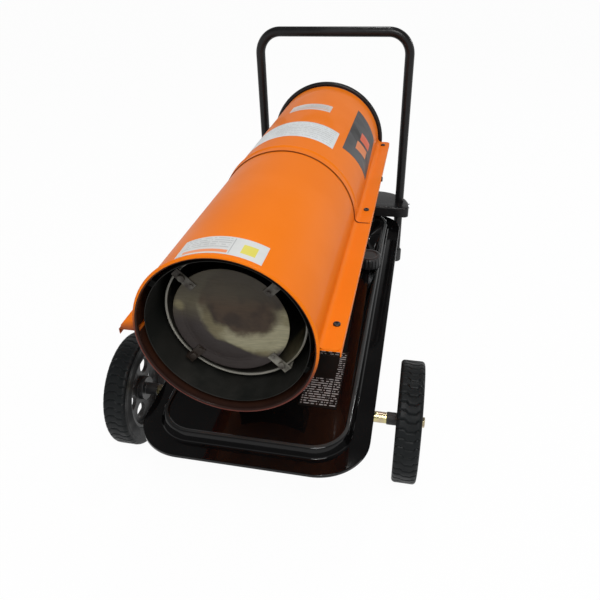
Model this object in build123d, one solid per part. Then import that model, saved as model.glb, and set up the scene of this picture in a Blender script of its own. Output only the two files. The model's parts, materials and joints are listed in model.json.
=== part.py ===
from build123d import *
import os
from math import cos, radians, sin, sqrt

os.makedirs("parts", exist_ok=True)

# A forced-air kerosene heater on two wheels, in millimetres. +Z is up and the floor is z = 0.
# The hot end faces -Y. Places along the heater are measured backwards from the outlet's lip, and
# the finished pieces are moved so that the origin lies under the middle of the whole heater.
# What the round shell holds is drawn about the shell's axis, and is lifted to its height at the end.

# Whole heater
overall_length = 963.0
shell_axis_height = 368.0
shell_rear_gap = 151.0  # from the shell's rear to the rear bracket's
fan_space = 412.0  # how much of the shell lies behind the combustion chamber
shell_length = overall_length - shell_rear_gap
chamber_rear = shell_length - fan_space

# Clearances and cutters
lay_gap = 0.3  # curved faces that lie beside each other
seat_gap = 0.1  # a fixed pin, plug or plate in its hole
running_gap = 0.05  # a shaft in its bearing
cut_over = 4.0  # how far a cutter runs past a face

# Shell
shell_radius = 120.0
shell_sheet = 1.2
shell_joint_inset = 32.0  # from the joint to the chamber's rear
shell_joint_lap = 24.0
shell_lap_gap = 0.6
flange_reach = 29.0
flange_half_width = shell_radius + flange_reach
flange_drop = 2.5
flange_front = 8.0
flange_fillet = 9.0
flange_fold = 9.0
flange_corner = 9.0
lip_roll = 2.8
lip_roll_rise = 0.2
lip_roll_place = shell_radius + lip_roll_rise
bead_back = 22.0
bead_width = 13.0
bead_height = 1.8
line_hole_half_width = 34.0
line_hole_forward = 45.0
line_hole_backward = 20.0

# Case screws
screw_radius = 2.0
screw_length = 12.0
screw_head_radius = 5.0
screw_head_height = 2.6
screw_socket_radius = 2.2
screw_socket_depth = 1.5
screw_inset = 13.5
screw_out = flange_half_width - screw_inset
front_screw_back = 62.0
middle_screw_inset = 55.0
rear_screw_inset = 26.0
side_screw_length = 8.0

# Heat shield inside the front of the shell
shield_inset = 9.5
shield_radius = shell_radius - shield_inset
shield_sheet = 1.0
shield_front = 9.5
shield_rear_gap = 5.0
shield_tab_width = 12.0
shield_tab_length = 14.0
shield_tab_inset = 20.0

# Combustion chamber
chamber_inset = 12.0
chamber_radius = shield_radius - chamber_inset
chamber_sheet = 1.2
chamber_front = 52.0
chamber_bead = 1.7
chamber_air_hole_radius = 6.0
chamber_air_pitch_radius = 70.0
chamber_lug_width = 12.0
chamber_lug_length = 16.0
chamber_lug_front = 110.0
chamber_lug_inset = 60.0

# Deflector disc in the mouth of the chamber, and its clips
disc_inset = 18.0
disc_radius = chamber_radius - disc_inset
disc_shift = 4.0
disc_back = 42.0
disc_sheet = 1.2
disc_rim_width = 16.5
disc_dome_radius = disc_radius - disc_rim_width
disc_dome_height = 8.0
clip_width = 13.0
clip_sheet = 1.4
clip_lap = 11.5
clip_inner_radius = disc_radius - clip_lap
clip_leg = 22.0
clip_rivet_radius = 1.6
clip_rivet_head_radius = 3.2
clip_rivet_head_height = 1.4
clip_bolt_radius = 5.2
clip_bolt_height = 3.6

# Burner
burner_radius = 38.0
burner_front_reach = 22.0
burner_rear_reach = 32.0
burner_flange_radius = 52.0
burner_flange_sheet = 2.5
nozzle_radius = 7.0
nozzle_front_reach = 6.0
nozzle_rear_reach = 8.0
nozzle_hex_radius = 10.0
nozzle_hex_length = 7.0
electrode_offset = 22.0
electrode_radius = 4.0
electrode_inset = 6.0
electrode_rear_reach = 18.0
electrode_wire_radius = 1.0
electrode_wire_length = 12.0
photocell_offset = 24.0
photocell_radius = 5.0
photocell_inset = 22.0
photocell_rear_reach = 20.0

# Motor, shaft and fan
shaft_radius = 4.0
shaft_reach = 3.0
motor_radius = 45.0
motor_gap = 7.0
motor_length = 95.0
motor_groove_depth = 2.0
motor_groove_width = 6.0
motor_edge_round = 4.0
motor_bracket_inset = 32.0
motor_bracket_length = 24.0
motor_bracket_sheet = 3.0
motor_arm_width = 24.0
fan_tip_gap = 20.0
fan_radius = shell_radius - fan_tip_gap
fan_hub_radius = 18.0
fan_inset = 222.0
fan_depth = 35.0
fan_blade_sheet = 2.0
fan_blade_chord = 78.0

# Air pump behind the motor
pump_radius = 36.0
pump_wall = 3.0
pump_rotor_length = 22.0
pump_rotor_radius = 26.9
pump_rotor_slot_width = 3.2
pump_rotor_slot_depth = 10.0
pump_chamber_offset = 1.0
pump_cover_length = 14.0
filter_radius = 12.0
filter_thickness = 6.0
filter_out = 18.0
filter_drop = 14.0
gauge_radius = 15.0
gauge_length = 14.0
gauge_wall = 1.4
gauge_lift = 18.0
gauge_post_radius = 1.0
gauge_needle_hub_radius = 2.6
gauge_needle_length = 9.5
gauge_needle_width = 1.2
gauge_needle_sheet = 0.8
gauge_needle_gap = 2.0

# Fan guard on the rear of the shell
guard_ring_lift = 5.6
guard_ring_radius = shell_radius + guard_ring_lift
guard_ring_wire = 5.3
guard_wire = 1.5
guard_inner_radius = 20.0
guard_ring_pitch = 21.4

# Tank
tank_half_width = 187.0
tank_front = 5.5
tank_rear_gap = 48.0
tank_corner = 82.0
tank_corner_share = 0.7  # of an inset comes off the corner's radius
tank_sheet = 1.5
tank_seam_height = 128.5
tank_bottom = 73.0
tank_flange = 29.0
tank_hem = 4.0
tank_hem_round = 1.0
tank_wall_lean = 10.0
tank_bottom_round = 18.0
ridge_inset = 33.0
ridge_height = 149.0
ridge_width = 7.0
ridge_round = 3.5
panel_height = 145.0

# Wheels and axle
wheel_radius = 101.5
wheel_width = 39.5
wheel_inner = 223.0
axle_back = 169.5
axle_radius = 6.0
groove_radius = 13.0
saddle_out = 120.0
saddle_width = 24.0
sleeve_radius = 9.5
boss_start = 206.8
boss_radius = 10.8
nut_radius = 9.0
nut_length = 5.6
washer_radius = 11.0
washer_sheet = 1.5
rim_radius = 72.0
rim_wall = 6.0
rim_inset = 3.0
web_sheet = 7.0
web_hole_radius = 14.0
web_hole_pitch_radius = 42.0
tyre_round = 6.0

# Handle, its rubber feet and the rear bracket
handle_radius = 11.0
handle_wall = 1.6
handle_out = 179.0
handle_inset = 62.0
handle_bar_height = 592.0
handle_bend = 50.0
foot_radius = 15.0
foot_height = 34.0
foot_floor = 7.0
foot_round = 3.0
bracket_half_width = 206.0
bracket_length = 108.0
bracket_top = 178.0
bracket_skirt = 26.0
bracket_sheet = 2.0
bracket_rear_corner = 90.0
bracket_front_corner = 12.0
bracket_edge_round = 4.0
bracket_web_half_width = 120.0
bracket_foot = 25.0
bolt_radius = 3.0
bolt_head_radius = 6.5
bolt_head_height = 4.0
bolt_reach = 8.0
foot_bolt_out = 90.0
leg_bolt_inset = 13.0
leg_bolt_end = 166.0

# Base box under the shell, and the front support
box_half_width = 88.0
box_front_gap = 70.0
box_rear_inset = 72.0
box_sheet = 1.2
box_foot = 11.0
support_half_width = 60.0
support_length = 40.0
support_share = 6 / 11  # how far along to the box the support stands
vent_length = 34.0
vent_height = 5.0
vent_pitch = 13.0
vent_rows = 5
vent_forward = 80.0
vent_bottom = 185.0

# Control panel on the right side of the base box
control_inset = 8.0
control_length = 92.0
control_bottom = 166.0
control_top = 258.0
control_sheet = 2.0
control_margin = 7.0
switch_inset = 65.0
switch_height = 235.0
rocker_radius = 12.0
rocker_width = 12.0
rocker_depth = 6.0
rocker_half_angle = 40.0
rocker_tilt = 10.0
rocker_pin_radius = 1.5
switch_wall = 2.0
switch_depth = 22.0
display_inset = 25.0
display_height = 235.0
display_half_length = 15.0
display_half_height = 7.5
display_sheet = 2.5
knob_inset = 32.0
knob_height = 196.0
knob_radius = 15.0
knob_length = 14.0
knob_lift = 1.0
knob_flute_radius = 1.6
knob_flutes = 18
knob_mark_width = 1.6
knob_shaft_radius = 3.0
pot_half_size = 9.0
board_depth = 18.0
board_sheet = 1.6
board_top = 216.0
board_post_radius = 3.0

# Ignition transformer and cord gland
transformer_left = 18.0
transformer_right = 70.0
transformer_gap = 15.0
transformer_length = 75.0
transformer_height = 44.0
transformer_round = 4.0
gland_out = 40.0
gland_height = 190.0
gland_radius = 8.0
gland_bore = 4.5
gland_hex_radius = 12.0
gland_hex_length = 8.0
gland_length = 30.0

# Fuel pickup, lines and lead
pickup_gap = 68.0
pickup_radius = 3.0
pickup_lift = 4.0
pickup_strainer_radius = 8.0
pickup_strainer_height = 14.0
pickup_flange_radius = 14.0
pickup_flange_sheet = 3.0
pickup_top = 168.0
fuel_line_radius = 3.0
fuel_line_bend = 25.0
air_line_radius = 3.5
air_line_gap = 12.0  # inside the shell
air_line_out = shell_radius - air_line_gap
air_line_bend = 20.0
lead_radius = 3.0
lead_gap = 42.0
lead_bend = 11.0

# Filler, strainer and cap
filler_out = 130.0
filler_inset = 315.0
neck_radius = 16.0
neck_wall = 1.5
neck_flange = 1.0
neck_flange_sheet = 1.2
neck_top = 158.0
strainer_wall = 1.0
strainer_bottom = 96.0
strainer_rim = 0.8
cap_gasket_sheet = 2.2
cap_radius = 28.0
cap_bottom = 150.5
cap_top = 176.0
cap_bore_gap = 1.2
cap_edge_round = 4.0
cap_flutes = 20
cap_flute_radius = 2.6

# Fuel gauge
float_gauge_out = 118.0
float_gauge_gap = 40.0
float_gauge_radius = 16.0
float_gauge_flange = 5.0
float_gauge_flange_sheet = 2.0
float_gauge_height = 12.0
float_gauge_wall = 1.5
float_gauge_lens = 1.5
float_gauge_stem_radius = 4.0
float_gauge_hole_radius = 12.0
float_pivot_height = 118.0
float_pin_radius = 2.0
float_hub_radius = 4.0
float_hub_length = 6.0
float_arm_length = 44.0
float_arm_radius = 1.5
float_radius = 10.0
float_length = 26.0
pointer_post_radius = 1.0
pointer_hub_radius = 2.5
pointer_length = 11.0
pointer_width = 1.4
pointer_sheet = 0.8

# Drain plug and rating plate
drain_inset = 115.0
drain_radius = 6.0
drain_head_radius = 10.0
drain_head_height = 5.0
plate_left = 62.0
plate_right = 126.0
plate_front = 130.0
plate_gap = 50.0
plate_sheet = 0.5

# Angles and counts
shield_tab_angles = (30, 90, 150, 210, 270, 330)
clip_angles = (45, 135, 225, 315)
motor_arm_angles = (200, 270, 340)
chamber_air_holes = 12
fan_blades = 5
fan_pitch = 32
pump_slots = 4
guard_rings = 4
guard_spokes = 8
web_holes = 6
float_rest_angle = 45
needle_rest_angle = -135
hexagon_sides = 6

# Places along the heater that follow
shell_joint_back = chamber_rear - shell_joint_inset
shield_rear = chamber_rear - shield_rear_gap
chamber_lug_rear = chamber_rear - chamber_lug_inset
burner_front = chamber_rear - burner_front_reach
burner_rear = chamber_rear + burner_rear_reach
nozzle_front = burner_front - nozzle_front_reach
nozzle_rear = burner_rear + nozzle_rear_reach
electrode_front = burner_front + electrode_inset
electrode_rear = burner_rear + electrode_rear_reach
photocell_front = burner_rear - photocell_inset
photocell_rear = burner_rear + photocell_rear_reach
pickup_back = burner_rear + pickup_gap
lead_back = burner_rear + lead_gap
line_hole_front = pickup_back - line_hole_forward
line_hole_rear = pickup_back + line_hole_backward
transformer_front = chamber_rear + transformer_gap
transformer_rear = transformer_front + transformer_length
fan_front = shell_length - fan_inset
fan_rear = fan_front + fan_depth
shaft_front = fan_front - shaft_reach
motor_front = fan_rear + motor_gap
motor_rear = motor_front + motor_length
motor_bracket_front = motor_front + motor_bracket_inset
middle_screw_back = shell_joint_back + middle_screw_inset
rear_screw_back = shell_length - rear_screw_inset
side_screw_back = fan_front
box_front = chamber_rear - box_front_gap
box_rear = shell_length - box_rear_inset
support_front = box_front * support_share
support_rear = support_front + support_length
control_rear = box_rear - control_inset
control_front = control_rear - control_length
switch_back = control_front + switch_inset
display_back = control_front + display_inset
knob_back = control_front + knob_inset
vent_front = control_front - vent_forward
plate_rear = box_front - plate_gap
tank_rear = overall_length - tank_rear_gap
filler_back = tank_rear - filler_inset
float_gauge_back = filler_back - float_gauge_gap
drain_back = tank_rear - drain_inset
handle_back = overall_length - handle_inset
bracket_front = overall_length - bracket_length

# Sizes that follow
panel_seam = tank_seam_height + tank_sheet
panel_inset = ridge_inset + ridge_width
pickup_end = tank_bottom + tank_sheet + pickup_lift
lower_flange_top = -flange_drop - shell_sheet
rear_shell_radius = shell_radius + shell_lap_gap + shell_sheet
pump_rear = motor_rear + pump_wall + pump_rotor_length
shaft_bore = shaft_radius + running_gap
axle_bore = axle_radius + running_gap
sleeve_start = saddle_out + saddle_width / 2 + lay_gap
wheel_outer = wheel_inner + wheel_width
axle_end = wheel_outer + lay_gap + washer_sheet + nut_length + lay_gap
screw_backs = (front_screw_back, middle_screw_back, rear_screw_back)


# Shapes in words: section runs along the heater, side_run across it, level upwards.
def section(sketch, front, rear, x=0, z=0):
    plane = Plane(origin=(x, rear, z), x_dir=(1, 0, 0), z_dir=(0, -1, 0))
    return extrude(plane * sketch, amount=rear - front)


def side_run(sketch, left, right, y=0, z=0):
    plane = Plane(origin=(left, y, z), x_dir=(0, 1, 0), z_dir=(1, 0, 0))
    return extrude(plane * sketch, amount=right - left)


def level(sketch, bottom, top, x=0, y=0):
    return extrude(Plane(origin=(x, y, bottom)) * sketch, amount=top - bottom)


def brick(left, right, front, rear, bottom, top):
    middle = ((left + right) / 2, (front + rear) / 2)
    return level(Rectangle(right - left, rear - front), bottom, top, *middle)


def ring(outer, inner):
    return Circle(outer) - Circle(inner)


def around_shell(shape, angle):
    # Turns a piece drawn on the +X side of the shell's axis, counter-clockwise from the front.
    return Rot(0, -angle, 0) * shape


def both_sides(shape):
    return shape + mirror(shape, about=Plane.YZ)


def pipe(points, radius, bend):
    path = FilletPolyline(*points, radius=bend)
    start = Plane(origin=path @ 0, z_dir=path % 0)
    return sweep(start * Circle(radius), path=path)


def above(bottom):
    reach = 2 * flange_half_width
    return Pos(0, bottom + reach / 2) * Rectangle(2 * reach, reach)


def below(top):
    reach = 2 * flange_half_width
    return Pos(0, top - reach / 2) * Rectangle(2 * reach, reach)


# Shell
def shell_outline(radius, drop):
    flat = Pos(0, -drop - radius / 2) * Rectangle(2 * flange_half_width, radius)
    outline = Rot(0, 0, -90) * Circle(radius) + flat
    inside = flange_half_width - flange_corner
    corners = [v for v in outline.vertices() if abs(v.Y + drop) < seat_gap and abs(v.X) < inside]
    return fillet(corners, flange_fillet)


def upper_shell_length(radius, drop, front, rear):
    outline = shell_outline(radius, drop)
    wall = outline - offset(outline, amount=-shell_sheet)
    return section(wall & above(-drop - shell_sheet), front, rear)


def rolled_lip(keep):
    roll = Pos(0, lip_roll, 0) * Rot(90, 0, 0) * Torus(lip_roll_place, lip_roll)
    return roll & section(keep, -cut_over, 2 * lip_roll + cut_over)


def rounded_flange_ends(shell, front, rear):
    ends = [
        edge
        for edge in shell.edges().filter_by(Axis.Z)
        if abs(abs(edge.center().X) - flange_half_width) < seat_gap
        and min(abs(edge.center().Y - front), abs(edge.center().Y - rear)) < seat_gap
    ]
    return fillet(ends, flange_corner)


def flange_screw_holes(backs):
    drill = Circle(screw_radius + seat_gap)
    low = -flange_drop - cut_over - shell_sheet
    places = [(x, y) for x in (-screw_out, screw_out) for y in backs]
    return Part() + [level(drill, low, cut_over, x, y) for x, y in places]


def front_upper_shell():
    rear = shell_joint_back + shell_joint_lap
    shell = upper_shell_length(shell_radius, flange_drop, flange_front, rear)
    shell = rounded_flange_ends(shell, flange_front, flange_front)
    bare = ring(shell_radius, shell_radius - shell_sheet) & above(lower_flange_top)
    shell = shell + section(bare, lip_roll, flange_front) + rolled_lip(above(lower_flange_top))
    return shell - flange_screw_holes((front_screw_back,))


def rear_upper_shell():
    step = shell_joint_back + shell_joint_lap + lay_gap
    lap = upper_shell_length(
        rear_shell_radius, flange_drop - shell_sheet, shell_joint_back, step + shell_sheet
    )
    rest = upper_shell_length(rear_shell_radius, flange_drop, step, shell_length)
    shell = rounded_flange_ends(lap + rest, shell_joint_back, shell_length)
    wire = (bead_width**2 / 4 + bead_height**2) / (2 * bead_height)
    bead = Torus(rear_shell_radius + bead_height - wire, wire)
    bead = Pos(0, shell_joint_back + bead_back, 0) * Rot(90, 0, 0) * bead
    core = Circle(rear_shell_radius - shell_sheet / 2)
    bead = bead - section(core, shell_joint_back, shell_joint_back + 2 * bead_back)
    keep = above(flange_drop)
    bead = bead & section(keep, shell_joint_back, shell_joint_back + 2 * bead_back)
    return shell + bead - flange_screw_holes((middle_screw_back, rear_screw_back))


def lower_shell():
    wall = ring(shell_radius, shell_radius - shell_sheet) & below(lower_flange_top)
    shell = section(wall, lip_roll, shell_length) + rolled_lip(below(lower_flange_top))
    flat_width = flange_half_width - shell_radius + shell_sheet / 2
    flat_middle = flange_half_width - flat_width / 2
    flat = Pos(flat_middle, lower_flange_top - shell_sheet / 2) * Rectangle(flat_width, shell_sheet)
    fold_middle = flange_half_width - shell_sheet / 2
    fold = Pos(fold_middle, lower_flange_top - flange_fold / 2) * Rectangle(shell_sheet, flange_fold)
    shell = shell + both_sides(section(flat + fold, flange_front, shell_length))
    slot = brick(
        -line_hole_half_width,
        line_hole_half_width,
        line_hole_front,
        line_hole_rear,
        -shell_radius - cut_over,
        -shell_radius / 2,
    )
    side_hole = side_run(
        Circle(screw_radius + seat_gap),
        flange_half_width - shell_sheet - cut_over,
        flange_half_width + cut_over,
        side_screw_back,
        lower_flange_top - flange_fold / 2,
    )
    return shell - slot - flange_screw_holes(screw_backs) - both_sides(side_hole)


def case_screws():
    head = level(Circle(screw_head_radius), 0, screw_head_height)
    head = fillet(head.edges().group_by(Axis.Z)[-1], screw_head_height / 2)
    socket = Circle(screw_socket_radius)
    head = head - level(socket, screw_head_height - screw_socket_depth, screw_head_height)
    screw = head + level(Circle(screw_radius), -screw_length, 0)
    places = [(x, y) for x in (-screw_out, screw_out) for y in screw_backs]
    upright = [Pos(x, y, -flange_drop) * screw for x, y in places]
    sideways = side_screw_length / screw_length
    short = head + level(Circle(screw_radius), -screw_length * sideways, 0)
    low = lower_flange_top - flange_fold / 2
    right = Pos(flange_half_width, side_screw_back, low) * Rot(0, 90, 0) * short
    return Part() + upright + [right, mirror(right, about=Plane.YZ)]


# Heat shield, chamber and deflector
def heat_shield():
    shield = section(ring(shield_radius, shield_radius - shield_sheet), shield_front, shield_rear)
    end = shell_radius - shell_sheet - lay_gap
    start = shield_radius - shield_sheet / 2
    backs = (shield_front + shield_tab_inset, shield_rear - shield_tab_inset - shield_tab_length)
    for back in backs:
        tab = brick(
            start, end, back, back + shield_tab_length, -shield_tab_width / 2, shield_tab_width / 2
        )
        tab = tab & section(Circle(end), back, back + shield_tab_length)
        shield = shield + [around_shell(tab, angle) for angle in shield_tab_angles]
    return shield


def combustion_chamber():
    wall = ring(chamber_radius, chamber_radius - chamber_sheet)
    chamber = section(wall, chamber_front, chamber_rear)
    back = Circle(chamber_radius - chamber_sheet / 2) - Circle(burner_radius + lay_gap)
    air_hole = Pos(chamber_air_pitch_radius, 0) * Circle(chamber_air_hole_radius)
    turns = [Rot(0, 0, 360 * i / chamber_air_holes) * air_hole for i in range(chamber_air_holes)]
    back = back - turns
    chamber = chamber + section(back, chamber_rear - chamber_sheet, chamber_rear)
    bead = Torus(chamber_radius - chamber_sheet / 2, chamber_bead)
    chamber = chamber + Pos(0, chamber_front, 0) * Rot(90, 0, 0) * bead
    return chamber + chamber_lugs()


def chamber_lugs():
    start = chamber_radius - chamber_sheet / 2
    end = shield_radius - shield_sheet - lay_gap
    half = chamber_lug_width / 2
    lugs = []
    for back in (chamber_lug_front, chamber_lug_rear):
        rear = back + chamber_lug_length
        lug = brick(start, end, back, rear, -half, half) & section(Circle(end), back, rear)
        lugs += [around_shell(lug, angle) for angle in clip_angles]
    return lugs


def deflector_disc():
    sphere = (disc_dome_radius**2 + disc_dome_height**2) / (2 * disc_dome_height)

    def dome(radius):
        return disc_back - disc_dome_height + sphere - sqrt(sphere**2 - radius**2)

    half = disc_dome_radius / 2
    rim = disc_back + disc_sheet
    outline = [
        ThreePointArc((0, dome(0)), (half, dome(half)), (disc_dome_radius, disc_back)),
        Line((disc_dome_radius, disc_back), (disc_radius, disc_back)),
        Line((disc_radius, disc_back), (disc_radius, rim)),
        Line((disc_radius, rim), (disc_dome_radius, rim)),
        ThreePointArc(
            (disc_dome_radius, rim), (half, dome(half) + disc_sheet), (0, dome(0) + disc_sheet)
        ),
        Line((0, dome(0) + disc_sheet), (0, dome(0))),
    ]
    disc = Pos(-disc_shift, 0, 0) * revolve(make_face(outline), axis=Axis.Y)
    rivet = section(
        Circle(clip_rivet_radius + seat_gap), disc_back - cut_over, rim + cut_over, clip_rivet_place()
    )
    return disc - [around_shell(rivet, angle) for angle in clip_angles]


def clip_rivet_place():
    return (clip_inner_radius + disc_radius - disc_shift) / 2


def deflector_clips():
    half = clip_width / 2
    leg_inner = chamber_radius + chamber_bead + lay_gap
    leg_outer = leg_inner + clip_sheet
    strap_rear = disc_back - seat_gap
    strap_front = strap_rear - clip_sheet
    clip = brick(clip_inner_radius, leg_outer, strap_front, strap_rear, -half, half)
    clip = clip + brick(leg_inner, leg_outer, strap_front, strap_rear + clip_leg, -half, half)
    rivet = section(Circle(clip_rivet_radius), strap_front, disc_back + disc_sheet, clip_rivet_place())
    rivet_head = section(
        Circle(clip_rivet_head_radius),
        strap_front - clip_rivet_head_height,
        strap_front,
        clip_rivet_place(),
    )
    bolt_out = (disc_radius + chamber_radius) / 2
    bolt = section(Circle(clip_bolt_radius), strap_front - clip_bolt_height, strap_front, bolt_out)
    bolt = fillet(bolt.edges().group_by(Axis.Y)[0], clip_bolt_height / 3)
    clip = clip + rivet + rivet_head + bolt
    return Part() + [around_shell(clip, angle) for angle in clip_angles]


# Burner
def burner_head():
    head = section(Circle(burner_radius), burner_front, burner_rear)
    flange = Circle(burner_flange_radius)
    head = head + section(flange, chamber_rear, chamber_rear + burner_flange_sheet)
    far = burner_rear + cut_over
    near = burner_front - cut_over
    head = head - section(Circle(nozzle_radius + seat_gap), near, far)
    head = head - section(Circle(electrode_radius + seat_gap), near, far, electrode_offset)
    return head - section(Circle(photocell_radius + seat_gap), near, far, -photocell_offset)


def fuel_nozzle():
    tip = nozzle_radius / 2
    nozzle = section(Circle(nozzle_radius), nozzle_front + tip, nozzle_rear)
    cone = Cone(nozzle_radius, tip, tip)
    nozzle = nozzle + Pos(0, nozzle_front + tip / 2, 0) * Rot(90, 0, 0) * cone
    hexagon = RegularPolygon(nozzle_hex_radius, hexagon_sides)
    hex_front = burner_rear + seat_gap
    return nozzle + section(hexagon, hex_front, hex_front + nozzle_hex_length)


def spark_electrode():
    rod = section(Circle(electrode_radius), electrode_front, electrode_rear, electrode_offset)
    wire_front = electrode_front - electrode_wire_length
    wire = section(Circle(electrode_wire_radius), wire_front, electrode_front, electrode_offset)
    return rod + wire


def photocell():
    return section(Circle(photocell_radius), photocell_front, photocell_rear, -photocell_offset)


# Fan, motor and air pump
def motor_shaft():
    return section(Circle(shaft_radius), shaft_front, pump_rear - running_gap)


def fan():
    bore = Circle(shaft_radius + seat_gap)
    hub = section(Circle(fan_hub_radius), fan_front, fan_rear)
    middle = (fan_front + fan_rear) / 2
    blade = Box(fan_radius, fan_blade_sheet, fan_blade_chord)
    blade = Pos(fan_radius / 2, middle, 0) * Rot(fan_pitch, 0, 0) * blade
    blade = blade & section(ring(fan_radius, fan_hub_radius / 2), fan_front, fan_rear)
    blades = [around_shell(blade, 360 * i / fan_blades) for i in range(fan_blades)]
    return hub + blades - section(bore, fan_front - cut_over, fan_rear + cut_over)


def motor_housing():
    motor = section(Circle(motor_radius), motor_front, motor_rear)
    motor = fillet(motor.edges().filter_by(GeomType.CIRCLE), motor_edge_round)
    groove = ring(motor_radius + cut_over, motor_radius - motor_groove_depth)
    clamp_rear = motor_bracket_front + motor_bracket_length
    for start in (motor_bracket_front - 2 * motor_groove_width, clamp_rear + motor_groove_width):
        motor = motor - section(groove, start, start + motor_groove_width)
    return motor - section(Circle(shaft_bore), motor_front - cut_over, motor_rear + cut_over)


def motor_bracket():
    start = motor_radius + lay_gap
    rear = motor_bracket_front + motor_bracket_length
    clamp = section(ring(start + motor_bracket_sheet, start), motor_bracket_front, rear)
    end = shell_radius - shell_sheet - lay_gap
    half = motor_arm_width / 2
    inner = start + motor_bracket_sheet / 2
    arm_rear = motor_bracket_front + motor_bracket_sheet
    arm = brick(inner, end, motor_bracket_front, arm_rear, -half, half)
    pad = brick(end - motor_bracket_sheet, end, motor_bracket_front, rear, -half, half)
    arm = (arm + pad) & section(Circle(end), motor_bracket_front, rear)
    return clamp + [around_shell(arm, angle) for angle in motor_arm_angles]


def pump_body():
    body = section(Circle(pump_radius), motor_rear, pump_rear)
    cavity = Circle(pump_rotor_radius + pump_chamber_offset + seat_gap)
    front = motor_rear + pump_wall - seat_gap
    body = body - section(cavity, front, pump_rear + cut_over, z=pump_chamber_offset)
    body = body - section(Circle(shaft_bore), motor_rear - cut_over, pump_rear)
    port = Circle(air_line_radius)
    outer = -pump_radius - pump_wall
    return body + side_run(port, outer, -pump_radius + pump_wall / 2, air_line_rear_back())


def air_line_rear_back():
    return (motor_rear + pump_rear) / 2


def pump_rotor():
    front = motor_rear + pump_wall
    rotor = section(Circle(pump_rotor_radius), front, pump_rear - seat_gap)
    depth = pump_rotor_radius - pump_rotor_slot_depth
    slot = brick(
        depth,
        pump_rotor_radius + cut_over,
        front - cut_over,
        pump_rear + cut_over,
        -pump_rotor_slot_width / 2,
        pump_rotor_slot_width / 2,
    )
    rotor = rotor - [around_shell(slot, 360 * i / pump_slots) for i in range(pump_slots)]
    bore = Circle(shaft_radius + seat_gap)
    return rotor - section(bore, front - cut_over, pump_rear + cut_over)


def pump_end_cover():
    rear = pump_rear + pump_cover_length
    cover = section(Circle(pump_radius), pump_rear, rear)
    pocket = Circle(filter_radius + seat_gap)
    for x in (-filter_out, filter_out):
        cover = cover - section(pocket, rear - filter_thickness, rear + cut_over, x, -filter_drop)
    return cover


def air_filters():
    rear = pump_rear + pump_cover_length
    pad = Circle(filter_radius)
    front = rear - filter_thickness
    return Part() + [section(pad, front, rear, x, -filter_drop) for x in (-filter_out, filter_out)]


def pressure_gauge_case():
    front = pump_rear + pump_cover_length
    rear = front + gauge_length
    case = section(Circle(gauge_radius), front, rear, z=gauge_lift)
    face = rear - gauge_length / 2
    case = case - section(Circle(gauge_radius - gauge_wall), face, rear + cut_over, z=gauge_lift)
    post_rear = face + gauge_needle_gap + 2 * gauge_needle_sheet
    return case + section(Circle(gauge_post_radius), face, post_rear, z=gauge_lift)


def pressure_needle():
    face = pump_rear + pump_cover_length + gauge_length / 2
    front = face + gauge_needle_gap
    rear = front + gauge_needle_sheet
    blade = Pos(0, gauge_needle_length / 2) * Rectangle(gauge_needle_width, gauge_needle_length)
    blade = Rot(0, 0, needle_rest_angle) * blade
    outline = Circle(gauge_needle_hub_radius) + blade - Circle(gauge_post_radius + running_gap)
    return section(outline, front, rear, z=gauge_lift)


def fan_guard():
    middle = shell_length + lay_gap + guard_ring_wire
    front = middle - guard_wire
    rear = middle + guard_wire
    guard = section(Circle(guard_inner_radius), front, rear)
    for i in range(guard_rings):
        radius = guard_inner_radius + guard_ring_pitch * (i + 1)
        guard = guard + section(ring(radius + guard_wire, radius - guard_wire), front, rear)
    start = guard_inner_radius / 2
    spoke = brick(start, guard_ring_radius, middle, rear + guard_wire, -guard_wire, guard_wire)
    guard = guard + [around_shell(spoke, 360 * i / guard_spokes) for i in range(guard_spokes)]
    rim = Torus(guard_ring_radius, guard_ring_wire)
    return guard + Pos(0, middle, 0) * Rot(90, 0, 0) * rim


# Tank
def tank_outline(inset):
    width = 2 * (tank_half_width - inset)
    length = tank_rear - tank_front - 2 * inset
    middle = (tank_front + tank_rear) / 2
    corner = tank_corner - tank_corner_share * inset
    return Pos(0, middle) * RectangleRounded(width, length, corner)


def tank_taper(low_inset, low, high_inset, high):
    low_face = Plane(origin=(0, 0, low)) * tank_outline(low_inset)
    high_face = Plane(origin=(0, 0, high)) * tank_outline(high_inset)
    return loft([low_face, high_face])


def tank_upper_half():
    lean = (ridge_inset - tank_flange) / (ridge_height - panel_seam)
    upper = tank_taper(tank_flange, panel_seam - tank_sheet / 2, ridge_inset, ridge_height)
    upper = fillet(upper.edges().group_by(Axis.Z)[-1], ridge_round)
    rim = level(tank_outline(0), tank_seam_height - tank_hem, panel_seam)
    rim = fillet(rim.edges().group_by(Axis.Z)[-1], tank_hem_round)
    inside_hem = tank_outline(tank_sheet)
    rim = rim - level(inside_hem, tank_seam_height - tank_hem - cut_over, tank_seam_height)
    upper = upper + rim
    pocket = level(tank_outline(panel_inset), panel_height, ridge_height + cut_over)
    upper = upper - pocket
    ceiling = panel_height - tank_sheet
    side = tank_flange + tank_sheet
    ceiling_inset = side + lean * (ceiling - tank_seam_height) + tank_sheet / 2
    hollow = tank_taper(side, tank_seam_height - tank_sheet, ceiling_inset, ceiling)
    upper = upper - hollow
    holes = [
        (neck_radius - neck_wall, filler_out, filler_back),
        (pickup_strainer_radius + lay_gap, 0, pickup_back),
        (float_gauge_hole_radius, -float_gauge_out, float_gauge_back),
        (bolt_radius + seat_gap, foot_bolt_out, foot_bolt_back()),
        (bolt_radius + seat_gap, -foot_bolt_out, foot_bolt_back()),
    ]
    for radius, x, y in holes:
        upper = upper - level(Circle(radius), ceiling - cut_over, panel_height + cut_over, x, y)
    return upper


def foot_bolt_back():
    return bracket_front - bracket_foot / 2


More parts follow.
